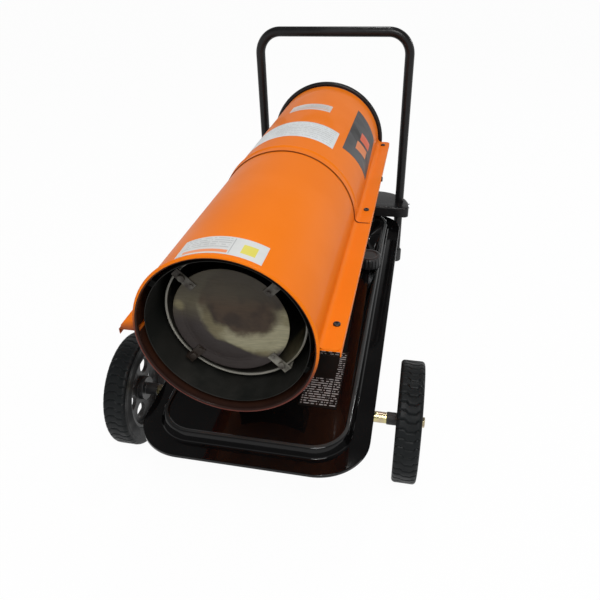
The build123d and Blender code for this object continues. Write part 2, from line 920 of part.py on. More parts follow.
def groove_outline(radius):
    centre = (axle_back, wheel_radius)
    depth = wheel_radius - tank_bottom + cut_over
    legs = Pos(centre[0], centre[1] - depth / 2) * Rectangle(2 * radius, depth)
    return Pos(*centre) * Circle(radius) + legs


def tank_lower_half():
    bottom_inset = tank_flange + tank_wall_lean
    body = tank_taper(bottom_inset, tank_bottom, tank_flange, tank_seam_height)
    body = fillet(body.edges().group_by(Axis.Z)[0], tank_bottom_round)
    side = tank_flange + tank_sheet
    hollow = tank_taper(
        bottom_inset + tank_sheet, tank_bottom + tank_sheet, side, tank_seam_height
    )
    hollow = fillet(hollow.edges().group_by(Axis.Z)[0], tank_bottom_round - tank_sheet)
    reach = tank_half_width
    groove = side_run(groove_outline(groove_radius), -reach, reach)
    groove_wall = side_run(groove_outline(groove_radius + tank_sheet), -reach, reach)
    lower = body - hollow + (body & groove_wall) - groove
    flange = tank_outline(tank_sheet + lay_gap) - tank_outline(side)
    lower = lower + level(flange, tank_seam_height - tank_sheet, tank_seam_height)
    drain = Circle(drain_radius + seat_gap)
    return lower - level(drain, tank_bottom - cut_over, tank_bottom + cut_over, 0, drain_back)


def drain_plug():
    head = RegularPolygon(drain_head_radius, hexagon_sides)
    plug = level(head, tank_bottom - drain_head_height, tank_bottom, 0, drain_back)
    shank = Circle(drain_radius)
    return plug + level(shank, tank_bottom, tank_bottom + 2 * drain_head_height, 0, drain_back)


def rating_plate():
    return brick(
        plate_left, plate_right, plate_front, plate_rear, panel_height, panel_height + plate_sheet
    )


# Filler and cap
def filler_neck():
    neck = ring(neck_radius, neck_radius - neck_wall)
    bore = Circle(neck_radius - neck_wall)
    low = panel_height
    flange = Circle(neck_radius + neck_flange) - bore
    outside = level(neck, low, neck_top, filler_out, filler_back)
    outside = outside + level(flange, low, low + neck_flange_sheet, filler_out, filler_back)
    return outside


def filler_strainer():
    outer = neck_radius - neck_wall - lay_gap
    tube = ring(outer, outer - strainer_wall)
    strainer = level(tube, strainer_bottom, neck_top + strainer_rim, filler_out, filler_back)
    floor = Circle(outer)
    strainer = strainer + level(
        floor, strainer_bottom, strainer_bottom + strainer_wall, filler_out, filler_back
    )
    rim = ring(neck_radius, outer - strainer_wall)
    return strainer + level(rim, neck_top, neck_top + strainer_rim, filler_out, filler_back)


def gasket_bottom():
    return neck_top + strainer_rim


def cap_gasket():
    flat = ring(neck_radius, neck_radius - 2 * neck_wall)
    low = gasket_bottom()
    return level(flat, low, low + cap_gasket_sheet, filler_out, filler_back)


def fuel_cap():
    ceiling = gasket_bottom() + cap_gasket_sheet + seat_gap
    outline = Circle(cap_radius)
    flute = Pos(cap_radius + cap_flute_radius / 3, 0) * Circle(cap_flute_radius)
    outline = outline - [Rot(0, 0, 360 * i / cap_flutes) * flute for i in range(cap_flutes)]
    cap = level(outline, cap_bottom, cap_top - cap_edge_round, filler_out, filler_back)
    crown = Circle(cap_radius - cap_flute_radius)
    crown = level(crown, cap_top - cap_edge_round - seat_gap, cap_top, filler_out, filler_back)
    crown = fillet(crown.edges().group_by(Axis.Z)[-1], cap_edge_round / 2)
    bore = Circle(neck_radius + cap_bore_gap)
    return cap + crown - level(bore, cap_bottom - cut_over, ceiling, filler_out, filler_back)


# Fuel gauge
def gauge_place(shape):
    return Pos(-float_gauge_out, float_gauge_back, 0) * shape


def gauge_dial_height():
    return panel_height + float_gauge_flange_sheet + float_gauge_wall


def fuel_gauge_housing():
    flange_top = panel_height + float_gauge_flange_sheet
    top = panel_height + float_gauge_height
    body = level(Circle(float_gauge_radius + float_gauge_flange), panel_height, flange_top)
    body = body + level(Circle(float_gauge_radius), flange_top, top)
    dial = gauge_dial_height()
    body = body - level(Circle(float_gauge_radius - float_gauge_wall), dial, top + cut_over)
    post = Circle(pointer_post_radius)
    body = body + level(post, dial, top - float_gauge_lens - 2 * seat_gap)
    half = float_hub_length / 2 + seat_gap
    stem = brick(
        -float_gauge_stem_radius,
        float_gauge_stem_radius,
        half,
        half + float_pin_radius,
        float_pivot_height - float_gauge_stem_radius,
        panel_height,
    )
    pin = section(Circle(float_pin_radius), -half, half + float_pin_radius, z=float_pivot_height)
    return gauge_place(body + stem + pin)


def gauge_lens():
    top = panel_height + float_gauge_height
    disc = Circle(float_gauge_radius - float_gauge_wall - seat_gap)
    return gauge_place(level(disc, top - float_gauge_lens, top))


def gauge_pointer():
    low = gauge_dial_height() + pointer_sheet
    blade = Pos(pointer_length / 2, 0) * Rectangle(pointer_length, pointer_width)
    outline = Circle(pointer_hub_radius) + blade - Circle(pointer_post_radius + running_gap)
    return gauge_place(level(outline, low, low + pointer_sheet))


def gauge_float_arm():
    half = float_hub_length / 2
    hub = section(Circle(float_hub_radius), -half, half)
    start = float_hub_radius - float_arm_radius
    arm = side_run(Circle(float_arm_radius), start, float_arm_length)
    ball = section(Circle(float_radius), -float_length / 2, float_length / 2, float_arm_length)
    arm = hub + arm + ball
    arm = arm - section(Circle(float_pin_radius + running_gap), -float_length, float_length)
    arm = Rot(0, float_rest_angle, 0) * arm
    return gauge_place(Pos(0, 0, float_pivot_height) * arm)


# Wheels
def axle():
    return side_run(Circle(axle_radius), -axle_end, axle_end, axle_back, wheel_radius)


def axle_saddles():
    block = groove_outline(groove_radius - lay_gap)
    block = block - Pos(axle_back, wheel_radius) * Circle(axle_radius + seat_gap)
    keep = Rectangle(4 * groove_radius, 4 * groove_radius)
    keep = Pos(axle_back, tank_bottom + 2 * groove_radius) * keep
    half = saddle_width / 2
    return both_sides(side_run(block & keep, saddle_out - half, saddle_out + half))


def axle_fittings():
    sleeve = ring(sleeve_radius, axle_radius + seat_gap)
    sleeve = side_run(sleeve, sleeve_start, boss_start - seat_gap, axle_back, wheel_radius)
    bore = Circle(axle_radius + seat_gap)
    washer_start = wheel_outer + lay_gap
    washer_end = washer_start + washer_sheet
    washer = Circle(washer_radius) - bore
    nut = RegularPolygon(nut_radius, hexagon_sides) - bore
    end = side_run(washer, washer_start, washer_end, axle_back, wheel_radius)
    end = end + side_run(nut, washer_end, washer_end + nut_length, axle_back, wheel_radius)
    return both_sides(Part() + [sleeve, end])


def wheel_hub():
    inner = wheel_inner + rim_inset
    outer = wheel_outer - rim_inset
    rim_outside = rim_radius - lay_gap
    rim = side_run(ring(rim_outside, rim_outside - rim_wall), inner, outer)
    web_start = (inner + outer - web_sheet) / 2
    hole = Pos(web_hole_pitch_radius, 0) * Circle(web_hole_radius)
    web = Circle(rim_outside - rim_wall / 2)
    web = web - [Rot(0, 0, 360 * i / web_holes) * hole for i in range(web_holes)]
    hub = rim + side_run(web, web_start, web_start + web_sheet)
    hub = hub + side_run(Circle(boss_radius), boss_start, wheel_outer)
    hub = hub + side_run(Circle(2 * boss_radius), inner + rim_inset, outer - rim_inset)
    hub = hub - side_run(Circle(axle_bore), boss_start - cut_over, wheel_outer + cut_over)
    return Pos(0, axle_back, wheel_radius) * hub


def tyre():
    tread = side_run(ring(wheel_radius, rim_radius), wheel_inner, wheel_outer)
    circles = tread.edges().filter_by(GeomType.CIRCLE)
    tread = fillet([edge for edge in circles if edge.radius > rim_radius + lay_gap], tyre_round)
    return Pos(0, axle_back, wheel_radius) * tread


# Handle, feet and rear bracket
def handle():
    low = foot_floor
    points = (
        (-handle_out, handle_back, low),
        (-handle_out, handle_back, handle_bar_height),
        (handle_out, handle_back, handle_bar_height),
        (handle_out, handle_back, low),
    )
    tube = pipe(points, handle_radius, handle_bend) - pipe(
        points, handle_radius - handle_wall, handle_bend
    )
    hole = Circle(bolt_radius + seat_gap)
    start = handle_out - 2 * handle_radius
    drill = side_run(hole, start, handle_out + 2 * handle_radius, handle_back, leg_bolt_height())
    return tube - both_sides(drill)


def leg_bolt_height():
    return bracket_top - leg_bolt_inset


def leg_feet():
    foot = level(Circle(foot_radius), 0, foot_height)
    foot = fillet(foot.edges().filter_by(GeomType.CIRCLE), foot_round)
    foot = foot - level(Circle(handle_radius + seat_gap), foot_floor, foot_height + cut_over)
    foot = Pos(handle_out, handle_back, 0) * foot
    return both_sides(foot)


def bracket_outline():
    length = overall_length - bracket_front
    middle = bracket_front + length / 2
    outline = Pos(0, middle) * Rectangle(2 * bracket_half_width, length)
    rear = outline.vertices().group_by(Axis.Y)[-1]
    outline = fillet(rear, bracket_rear_corner)
    front = outline.vertices().group_by(Axis.Y)[0]
    return fillet(front, bracket_front_corner)


def rear_bracket():
    low = bracket_top - bracket_skirt
    outline = bracket_outline()
    tray = level(outline, low, bracket_top)
    tray = fillet(tray.edges().group_by(Axis.Z)[-1], bracket_edge_round)
    inside = offset(outline, amount=-bracket_sheet)
    tray = tray - level(inside, low - cut_over, bracket_top - bracket_sheet)
    half = bracket_web_half_width
    web_rear = bracket_front + bracket_sheet
    web = brick(-half, half, bracket_front, web_rear, panel_height, low + bracket_sheet)
    foot_top = panel_height + bracket_sheet
    web = web + brick(-half, half, bracket_front - bracket_foot, web_rear, panel_height, foot_top)
    leg = Circle(handle_radius + seat_gap)
    leg = level(leg, low, bracket_top + cut_over, handle_out, handle_back)
    bolt = Circle(bolt_radius + seat_gap)
    foot_bolt = level(
        bolt, panel_height - cut_over, foot_top + cut_over, foot_bolt_out, foot_bolt_back()
    )
    far = bracket_half_width + cut_over
    leg_bolt = side_run(bolt, leg_bolt_end, far, handle_back, leg_bolt_height())
    return tray + web - both_sides(Part() + [leg, foot_bolt, leg_bolt])


def bracket_bolts():
    head = RegularPolygon(bolt_head_radius, hexagon_sides)
    seat = panel_height + bracket_sheet
    place = (foot_bolt_out, foot_bolt_back())
    down = level(head, seat, seat + bolt_head_height, *place)
    down = down + level(Circle(bolt_radius), panel_height - bolt_reach, seat, *place)
    corner = bracket_rear_corner
    across = handle_back - bolt_head_radius - (overall_length - corner)
    side = bracket_half_width - corner + sqrt(corner**2 - across**2)
    place = (handle_back, leg_bolt_height())
    out = side_run(head, side + lay_gap, side + lay_gap + bolt_head_height, *place)
    out = out + side_run(Circle(bolt_radius), leg_bolt_end, side + lay_gap, *place)
    return both_sides(Part() + [down, out])


# Base box, front support and what they hold
def saddle_box(half_width, front, rear, sheet, foot):
    top = shell_axis_height
    outer = brick(-half_width, half_width, front, rear, panel_height, top)
    inner = brick(
        sheet - half_width, half_width - sheet, front + sheet, rear - sheet, panel_height + sheet, top
    )
    inset = sheet + foot
    open_foot = brick(
        inset - half_width,
        half_width - inset,
        front + inset,
        rear - inset,
        panel_height - cut_over,
        panel_height + cut_over,
    )
    saddle = section(Circle(shell_radius + lay_gap), front - cut_over, rear + cut_over, z=top)
    return outer - inner - open_foot - saddle


def base_box():
    box = saddle_box(box_half_width, box_front, box_rear, box_sheet, box_foot)
    window = brick(
        box_half_width - box_sheet - cut_over,
        box_half_width + cut_over,
        control_front + control_margin,
        control_rear - control_margin,
        control_bottom + control_margin,
        control_top - control_margin,
    )
    gland = Circle(gland_radius + seat_gap)
    gland = section(gland, box_rear - cut_over, box_rear + cut_over, gland_out, gland_height)
    vent = SlotOverall(vent_length, vent_height)
    vents = [
        side_run(
            vent,
            -box_half_width - cut_over,
            cut_over - box_half_width,
            vent_front,
            vent_bottom + vent_pitch * i,
        )
        for i in range(vent_rows)
    ]
    return box - window - gland - vents


def front_support():
    return saddle_box(support_half_width, support_front, support_rear, box_sheet, box_foot)


def control_panel():
    low = box_half_width
    plate = brick(low, low + control_sheet, control_front, control_rear, control_bottom, control_top)
    room = 2 * switch_wall + 2 * seat_gap
    window = Rectangle(rocker_width + room, 2 * rocker_radius + room)
    far = low + control_sheet + cut_over
    plate = plate - side_run(window, low - cut_over, far, switch_back, switch_height)
    glass = Rectangle(2 * display_half_length + 2 * seat_gap, 2 * display_half_height + 2 * seat_gap)
    plate = plate - side_run(glass, low - cut_over, far, display_back, display_height)
    shaft = Circle(knob_shaft_radius + lay_gap)
    plate = plate - side_run(shaft, low - cut_over, far, knob_back, knob_height)
    for y in board_post_backs():
        for z in board_post_heights():
            post = side_run(Circle(board_post_radius), board_outer() + seat_gap, low, y, z)
            plate = plate + post
    return plate


def board_outer():
    return box_half_width - board_depth + board_sheet


def board_post_backs():
    inset = control_margin + 2 * board_post_radius
    return (control_front + inset, control_rear - inset)


def board_post_heights():
    inset = control_margin + 2 * board_post_radius
    return (control_bottom + inset, board_top - 2 * board_post_radius)


def rocker_pivot():
    return box_half_width + control_sheet + rocker_depth - rocker_radius


def switch_body():
    half_width = rocker_width / 2 + seat_gap
    half_height = rocker_radius
    outer = Rectangle(2 * half_width + 2 * switch_wall, 2 * half_height + 2 * switch_wall)
    face = box_half_width + control_sheet + seat_gap
    body = side_run(outer, face - switch_depth, face + control_sheet, switch_back, switch_height)
    bezel = Rectangle(2 * half_width + 4 * switch_wall, 2 * half_height + 4 * switch_wall)
    body = body + side_run(bezel, face, face + control_sheet, switch_back, switch_height)
    inner = Rectangle(2 * half_width, 2 * half_height)
    pocket = rocker_pivot() - rocker_radius
    body = body - side_run(inner, pocket, face + 2 * control_sheet, switch_back, switch_height)
    pin = section(
        Circle(rocker_pin_radius),
        switch_back - half_width,
        switch_back + half_width,
        rocker_pivot(),
        switch_height,
    )
    return body + pin


def power_rocker():
    half_width = rocker_width / 2
    reach = rocker_radius - seat_gap
    rise = reach * sin(radians(rocker_half_angle))
    run = reach * cos(radians(rocker_half_angle))
    face = Polyline((0, -rise / 2), (run, -rise), (run, rise), (0, rise / 2), close=True)
    tip = CenterArc((0, 0), reach, -rocker_half_angle, 2 * rocker_half_angle)
    cap = make_face([tip, Line(tip @ 1, tip @ 0)])
    outline = make_face(face) + cap + Circle(2 * rocker_pin_radius)
    outline = outline - Circle(rocker_pin_radius + running_gap)
    front = switch_back - half_width
    rocker = section(outline, front, switch_back + half_width)
    rocker = Rot(0, rocker_tilt, 0) * rocker
    return Pos(rocker_pivot(), 0, switch_height) * rocker


def display_lens():
    face = box_half_width + control_sheet
    window = Rectangle(2 * display_half_length, 2 * display_half_height)
    return side_run(window, face - display_sheet, face, display_back, display_height)


def thermostat_knob():
    outline = Circle(knob_radius)
    flute = Pos(knob_radius, 0) * Circle(knob_flute_radius)
    turns = [Rot(0, 0, 360 * (i + 1 / 2) / knob_flutes) * flute for i in range(knob_flutes)]
    start = box_half_width + control_sheet + knob_lift
    knob = side_run(outline - turns, start, start + knob_length)
    mark = Pos(0, knob_radius / 2) * Rectangle(knob_mark_width, knob_radius)
    knob = knob - side_run(mark, start + knob_length - knob_mark_width / 2, start + knob_length)
    shaft_start = board_outer() + pot_half_size / 2
    knob = knob + side_run(Circle(knob_shaft_radius), shaft_start, start)
    return Pos(0, knob_back, knob_height) * knob


def circuit_board():
    outer = board_outer()
    inset = control_margin + seat_gap
    board = brick(
        outer - board_sheet,
        outer,
        control_front + inset,
        control_rear - inset,
        control_bottom + inset,
        board_top,
    )
    pot = Rectangle(2 * pot_half_size, 2 * pot_half_size) - Circle(knob_shaft_radius + running_gap)
    pot = side_run(pot, outer, outer + pot_half_size, knob_back, knob_height)
    relay = Rectangle(pot_half_size, 2 * pot_half_size)
    relay_back = knob_back + 3 * pot_half_size
    relay = side_run(relay, outer, outer + pot_half_size, relay_back, knob_height)
    return board + pot + relay


def ignition_transformer():
    top = panel_height + transformer_height
    block = brick(
        transformer_left, transformer_right, transformer_front, transformer_rear, panel_height, top
    )
    return fillet(block.edges().filter_by(Axis.Z), transformer_round)


def power_inlet():
    bore = Circle(gland_bore)
    inside = box_rear - box_sheet - gland_hex_length
    body = section(Circle(gland_radius), inside, box_rear, gland_out, gland_height)
    hexagon = RegularPolygon(gland_hex_radius, hexagon_sides)
    hex_rear = box_rear + gland_hex_length
    body = body + section(hexagon, box_rear, hex_rear, gland_out, gland_height)
    rear = box_rear - gland_hex_length + gland_length
    dome = Circle(gland_radius + box_sheet)
    body = body + section(dome, hex_rear, rear, gland_out, gland_height)
    return body - section(bore, inside - cut_over, rear + cut_over, gland_out, gland_height)


# Fuel pickup, lines and ignition lead, drawn from the floor
def fuel_pickup():
    place = (0, pickup_back)
    tube = level(Circle(pickup_radius), pickup_end, pickup_top, *place)
    strainer_top = pickup_end + pickup_strainer_height
    tube = tube + level(Circle(pickup_strainer_radius), pickup_end, strainer_top, *place)
    flange_top = panel_height + pickup_flange_sheet
    return tube + level(Circle(pickup_flange_radius), panel_height, flange_top, *place)


def fuel_line():
    points = (
        (0, pickup_back, pickup_top + seat_gap),
        (0, pickup_back, shell_axis_height),
        (0, nozzle_rear + seat_gap, shell_axis_height),
    )
    return pipe(points, fuel_line_radius, fuel_line_bend)


def air_line():
    front = (chamber_rear + burner_flange_sheet + burner_rear) / 2
    rear = air_line_rear_back()
    pump_end = -pump_radius - pump_wall - seat_gap
    burner_end = -burner_radius - lay_gap
    points = (
        (pump_end, rear, shell_axis_height),
        (-air_line_out, rear, shell_axis_height),
        (-air_line_out, front, shell_axis_height),
        (burner_end, front, shell_axis_height),
    )
    return pipe(points, air_line_radius, air_line_bend)


def ignition_lead():
    low = panel_height + transformer_height + seat_gap
    points = (
        (electrode_offset, lead_back, low),
        (electrode_offset, lead_back, shell_axis_height),
        (electrode_offset, electrode_rear + seat_gap, shell_axis_height),
    )
    return pipe(points, lead_radius, lead_bend)


# Every piece, those about the shell's axis first
about_axis = (
    front_upper_shell,
    rear_upper_shell,
    lower_shell,
    case_screws,
    heat_shield,
    combustion_chamber,
    deflector_disc,
    deflector_clips,
    burner_head,
    fuel_nozzle,
    spark_electrode,
    photocell,
    motor_shaft,
    fan,
    motor_housing,
    motor_bracket,
    pump_body,
    pump_rotor,
    pump_end_cover,
    air_filters,
    pressure_gauge_case,
    pressure_needle,
    fan_guard,
)
from_floor = (
    tank_upper_half,
    tank_lower_half,
    drain_plug,
    rating_plate,
    filler_neck,
    filler_strainer,
    cap_gasket,
    fuel_cap,
    fuel_gauge_housing,
    gauge_lens,
    gauge_pointer,
    gauge_float_arm,
    axle,
    axle_saddles,
    axle_fittings,
    handle,
    leg_feet,
    rear_bracket,
    bracket_bolts,
    base_box,
    front_support,
    control_panel,
    switch_body,
    power_rocker,
    display_lens,
    thermostat_knob,
    circuit_board,
    ignition_transformer,
    power_inlet,
    fuel_pickup,
    fuel_line,
    air_line,
    ignition_lead,
)

nodes = {make.__name__: Pos(0, 0, shell_axis_height) * make() for make in about_axis}
nodes.update({make.__name__: make() for make in from_floor})
nodes["right_wheel_hub"] = wheel_hub()
nodes["right_tyre"] = tyre()
nodes["left_wheel_hub"] = mirror(nodes["right_wheel_hub"], about=Plane.YZ)
nodes["left_tyre"] = mirror(nodes["right_tyre"], about=Plane.YZ)
nodes = {name: Pos(0, -overall_length / 2, 0) * shape for name, shape in nodes.items()}

for name, shape in nodes.items():
    export_step(shape, f"parts/{name}.step")
print(len(nodes), "pieces")
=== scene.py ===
import json
import bmesh
import bpy
import numpy as np
from functools import partialmethod
from mathutils import Matrix, Vector, geometry

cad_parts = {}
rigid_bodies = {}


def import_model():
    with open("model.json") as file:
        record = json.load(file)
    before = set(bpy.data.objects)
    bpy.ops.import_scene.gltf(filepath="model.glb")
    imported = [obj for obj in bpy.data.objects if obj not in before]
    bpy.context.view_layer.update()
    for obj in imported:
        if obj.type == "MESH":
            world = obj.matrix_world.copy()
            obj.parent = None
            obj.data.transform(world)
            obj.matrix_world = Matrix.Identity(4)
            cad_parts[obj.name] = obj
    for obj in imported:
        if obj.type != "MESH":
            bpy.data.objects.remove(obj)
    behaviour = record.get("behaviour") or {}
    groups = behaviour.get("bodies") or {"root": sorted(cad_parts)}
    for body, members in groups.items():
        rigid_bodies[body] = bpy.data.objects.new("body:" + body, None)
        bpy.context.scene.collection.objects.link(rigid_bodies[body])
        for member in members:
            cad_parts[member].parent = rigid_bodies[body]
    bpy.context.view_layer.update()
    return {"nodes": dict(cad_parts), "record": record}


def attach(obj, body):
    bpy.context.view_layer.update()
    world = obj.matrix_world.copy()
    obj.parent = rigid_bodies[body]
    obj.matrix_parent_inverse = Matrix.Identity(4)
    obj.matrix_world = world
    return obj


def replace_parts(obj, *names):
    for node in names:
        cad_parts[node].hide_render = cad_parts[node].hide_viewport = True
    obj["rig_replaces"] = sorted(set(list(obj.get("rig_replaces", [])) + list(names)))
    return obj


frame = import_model()

# The heater's own sizes are in millimetres: x to the right, y backwards from the outlet's lip and
# z up from the floor. meshOf puts them about the heater's middle, in metres.
heater = {"length": 963.0, "axisHeight": 368.0, "seamBack": 368.0}
axisHeight = heater["axisHeight"]
cadNodes = frame["nodes"]
bodyOf = {
    node: body
    for body, members in frame["record"]["behaviour"]["bodies"].items()
    for node in members
}
slotOf = {part["node"]: part["material_slot"] for part in frame["record"]["subparts"]}


# Surfaces, as whole arrays of points and of faces


def stacked(*axes):
    # coordinates side by side, each stretched to the shape of the others
    return np.stack(np.broadcast_arrays(*axes), -1)


def wholeTurn(count):
    return np.arange(count) * 2 * np.pi / count


def unitGrid(rows, columns):
    return np.meshgrid(np.linspace(0, 1, rows), np.linspace(0, 1, columns), indexing="ij")


def gridFaces(rows, columns, rowLoop=False, columnLoop=False):
    # a quad between each point of a rows x columns grid, the next in its row and the two above
    i, j = np.mgrid[: rows - (not rowLoop), : columns - (not columnLoop)].reshape(2, -1)
    up, over = (i + 1) % rows, (j + 1) % columns
    return stacked(i * columns + j, i * columns + over, up * columns + over, up * columns + j)


def wrapped(grid, rowLoop=False, columnLoop=True):
    rows, columns = grid.shape[:2]
    return grid.reshape(-1, 3), [gridFaces(rows, columns, rowLoop, columnLoop)]


def slab(top, bottom):
    # two grids of the same size, one each side of a sheet, and the strip round their rim
    rows, columns = top.shape[:2]
    under = rows * columns
    number = np.arange(under).reshape(rows, columns)
    rim = np.concatenate([number[0, :-1], number[:-1, -1], number[-1, :0:-1], number[:0:-1, 0]])
    following = np.roll(rim, -1)
    upper = gridFaces(rows, columns)
    points = np.concatenate([top.reshape(-1, 3), bottom.reshape(-1, 3)])
    return points, [upper, upper[:, ::-1] + under, stacked(rim, rim + under, following + under, following)]


def slabPrint(u, v):
    # the same print on both sides of a slab
    return np.tile(stacked(u.ravel(), v.ravel()), (2, 1))


def joined(*parts):
    points, faces, start = [], [], 0
    for block, faceSets in parts:
        points.append(block)
        faces += [faceSet + start for faceSet in faceSets]
        start += len(block)
    return np.concatenate(points), faces


def arc(centre, radius, start, end, count):
    angle = np.radians(np.linspace(start, end, count))
    return stacked(centre[0] + radius * np.cos(angle), centre[1] + radius * np.sin(angle))


def corners(points):
    # each inner point of a line, with the one before and the one after
    return zip(points[:-2], points[1:-1], points[2:])


def softened(points, rounds, steps=5):
    # a line through the points whose corners are eased: each is the curve between two points that
    # lie the given distance before and after it, (1-t)^2 a + 2t(1-t) corner + t^2 b
    points = np.asarray(points, float)
    line = [points[:1]]
    t = np.linspace(0, 1, steps)[:, None]
    for (before, corner, after), ease in zip(corners(points), rounds):
        if ease == 0:
            line.append(corner[None])
            continue
        a = corner + (before - corner) * ease / np.linalg.norm(before - corner)
        b = corner + (after - corner) * ease / np.linalg.norm(after - corner)
        line.append((1 - t) ** 2 * a + 2 * t * (1 - t) * corner + t**2 * b)
    return np.concatenate(line + [points[-1:]])


def smooth(t):
    t = np.clip(t, 0, 1)
    return t * t * (3 - 2 * t)


def turned(profile, count, closed=True, centre=(0.0, axisHeight), ripple=None):
    # a profile of (y, radius) turned about a line that runs along the heater
    angle = wholeTurn(count)
    y, radius = profile.T[..., None]
    if ripple is not None:
        y = y + ripple(radius, angle[None])
    grid = stacked(centre[0] + radius * np.cos(angle), y, centre[1] + radius * np.sin(angle))
    return wrapped(grid, rowLoop=closed)


def tube(path, radius, around):
    # a round tube along a line of points: each ring lies across the line, in a frame that is
    # carried from one point to the next without twisting, and both ends are closed
    path = np.asarray(path, float)
    along = np.gradient(path, axis=0)
    along /= np.linalg.norm(along, axis=1)[:, None]
    side, sides = np.cross(along[0], [0.3, 0.5, 0.8]), []
    for direction in along:
        side = side - direction * np.dot(side, direction)
        side = side / np.linalg.norm(side)
        sides.append(side)
    sides = np.array(sides)
    a = wholeTurn(around)[:, None]
    ring = np.cos(a) * sides[:, None] + np.sin(a) * np.cross(along, sides)[:, None]
    first, last = (np.repeat(end[:, None], around, 1) for end in (path[:1], path[-1:]))
    return wrapped(np.concatenate([first, path[:, None] + radius * ring, last]))


def bentPath(points, bend, steps):
    # straight runs joined by arcs of one radius
    points = np.asarray(points, float)
    line = [points[:1]]
    t = np.linspace(0, 1, steps)[:, None]
    for before, corner, after in corners(points):
        a = (before - corner) / np.linalg.norm(before - corner)
        b = (after - corner) / np.linalg.norm(after - corner)
        half = np.arccos(np.clip(np.dot(a, b), -1, 1)) / 2
        middle = corner + (a + b) / np.linalg.norm(a + b) * bend / np.sin(half)
        start, end = (corner + way * bend / np.tan(half) - middle for way in (a, b))
        sweep = np.pi - 2 * half
        line.append(middle + (np.sin((1 - t) * sweep) * start + np.sin(t * sweep) * end) / np.sin(sweep))
    return np.concatenate(line + [points[-1:]])


def flatPlate(outline, holes, low, high, lay):
    # a flat sheet with round holes: the triangles between the outlines, less those inside a hole
    loops = [np.asarray(outline, float)]
    for centre, radius, count in holes:
        loops.append(arc(centre, radius, 0, 360 * (1 - 1 / count), count))
    edges, start = [], 0
    for loop in loops:
        number = np.arange(len(loop))
        edges += (stacked(number, np.roll(number, -1)) + start).tolist()
        start += len(loop)
    flat = [Vector(point) for point in np.concatenate(loops)]
    spots, _, triangles, _, _, _ = geometry.delaunay_2d_cdt(flat, edges, [], 1, 1e-6)
    spots, triangles = np.array([tuple(spot) for spot in spots]), np.array(triangles)
    middle = spots[triangles].mean(1)
    keep = np.ones(len(triangles), bool)
    for centre, radius, _ in holes:
        keep &= np.hypot(*(middle - centre).T) > radius * 0.97
    triangles = triangles[keep]
    parts = [(lay(spots, high), [triangles]), (lay(spots, low), [triangles[:, ::-1]])]
    parts += [wrapped(np.stack([lay(loop, low), lay(loop, high)])) for loop in loops[1:]]
    return joined(*parts)


def shellPatch(four, radius, lift, sheet, count=(40, 12)):
    # a sheet that lies round the shell: its four corners are (angle from +X, y), and it is filled
    # in between them along straight lines in angle and y
    u, v = unitGrid(*count)
    a, b, c, d = np.array(four, float)
    u3, v3 = u[..., None], v[..., None]
    spot = (1 - u3) * (1 - v3) * a + u3 * (1 - v3) * b + u3 * v3 * c + (1 - u3) * v3 * d
    angle = np.radians(spot[..., 0])

    def at(r):
        return stacked(r * np.cos(angle), spot[..., 1], axisHeight + r * np.sin(angle))

    return slab(at(radius + lift + sheet), at(radius + lift)), slabPrint(u, v)


# Meshes and objects
weldDistance = 2e-6
flatAngle = 0.6  # degrees: faces of the CAD that meet flatter than this are one
sharpAngle, roundSharpAngle, cadSharpAngle = 35.0, 50.0, 33.0


def welded(mesh, sharp, merge=False):
    # doubled points joined, and the mesh shaded by angle
    bm = bmesh.new()
    bm.from_mesh(mesh)
    bmesh.ops.remove_doubles(bm, verts=bm.verts, dist=weldDistance)
    if merge:
        bmesh.ops.dissolve_limit(bm, angle_limit=np.radians(flatAngle), verts=bm.verts, edges=bm.edges)
    else:
        bmesh.ops.recalc_face_normals(bm, faces=bm.faces)
    bm.to_mesh(mesh)
    bm.free()
    mesh.shade_smooth()
    mesh.set_sharp_from_angle(angle=np.radians(sharp))


def meshOf(name, part, uv, sharp):
    points, faceSets = part
    mesh = bpy.data.meshes.new(name)
    points = (np.asarray(points, float) - [0, heater["length"] / 2, 0]) / 1000
    mesh.from_pydata(points.tolist(), [], [face for faceSet in faceSets for face in faceSet.tolist()])
    if uv is not None:
        layer = mesh.uv_layers.new(name="print")
        corner = np.zeros(len(mesh.loops), int)
        mesh.loops.foreach_get("vertex_index", corner)
        layer.data.foreach_set("uv", np.asarray(uv)[corner].ravel())
    welded(mesh, sharp)
    return mesh


def linked(name, data):
    made = bpy.data.objects.new(name, data)
    bpy.context.scene.collection.objects.link(made)
    return made


def placed(mesh, name, finish, body, slot, replaced):
    mesh.materials.clear()
    mesh.materials.append(finishes[finish])
    piece = linked(name, mesh)
    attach(piece, body)
    if replaced:
        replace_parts(piece, *replaced)
    return piece


def newPiece(name, part, node=None, finish=None, body=None, slot=None, uv=None, sharp=sharpAngle):
    slot = slot or slotOf[node]
    mesh = meshOf(name, part, uv, sharp)
    return placed(mesh, name, finish or slot, body or bodyOf[node], slot, (node,) if node else ())


def addedMark(name, part, finish, uv=None, slot="gauge_face"):
    # a printed or painted piece that no CAD node has
    newPiece(name, part, finish=finish, body="heater", slot=slot, uv=uv)


def dressed(node, edge, finish):
    # a merged copy of a CAD node, shaded by angle, with its edges eased
    first, *rest = node.split("_")
    name = first + "".join(word.capitalize() for word in rest)
    mesh = cadNodes[node].data.copy()
    mesh.name = name
    if "custom_normal" in mesh.attributes:
        mesh.attributes.remove(mesh.attributes["custom_normal"])
    welded(mesh, cadSharpAngle, merge=True)
    piece = placed(mesh, name, finish or slotOf[node], bodyOf[node], slotOf[node], (node,))
    if edge:
        bevel = piece.modifiers.new("easedEdges", "BEVEL")
        bevel.width = edge / 1000
        bevel.segments = 2
        bevel.limit_method = "ANGLE"
        bevel.angle_limit = np.radians(cadSharpAngle)
        bevel.harden_normals = True


# Shader nodes and shared effects
class Outputs:
    # a node's outputs, by name or place
    def __init__(self, node):
        self.node = node

    def __getitem__(self, key):
        return Signal(self.node.outputs[key])


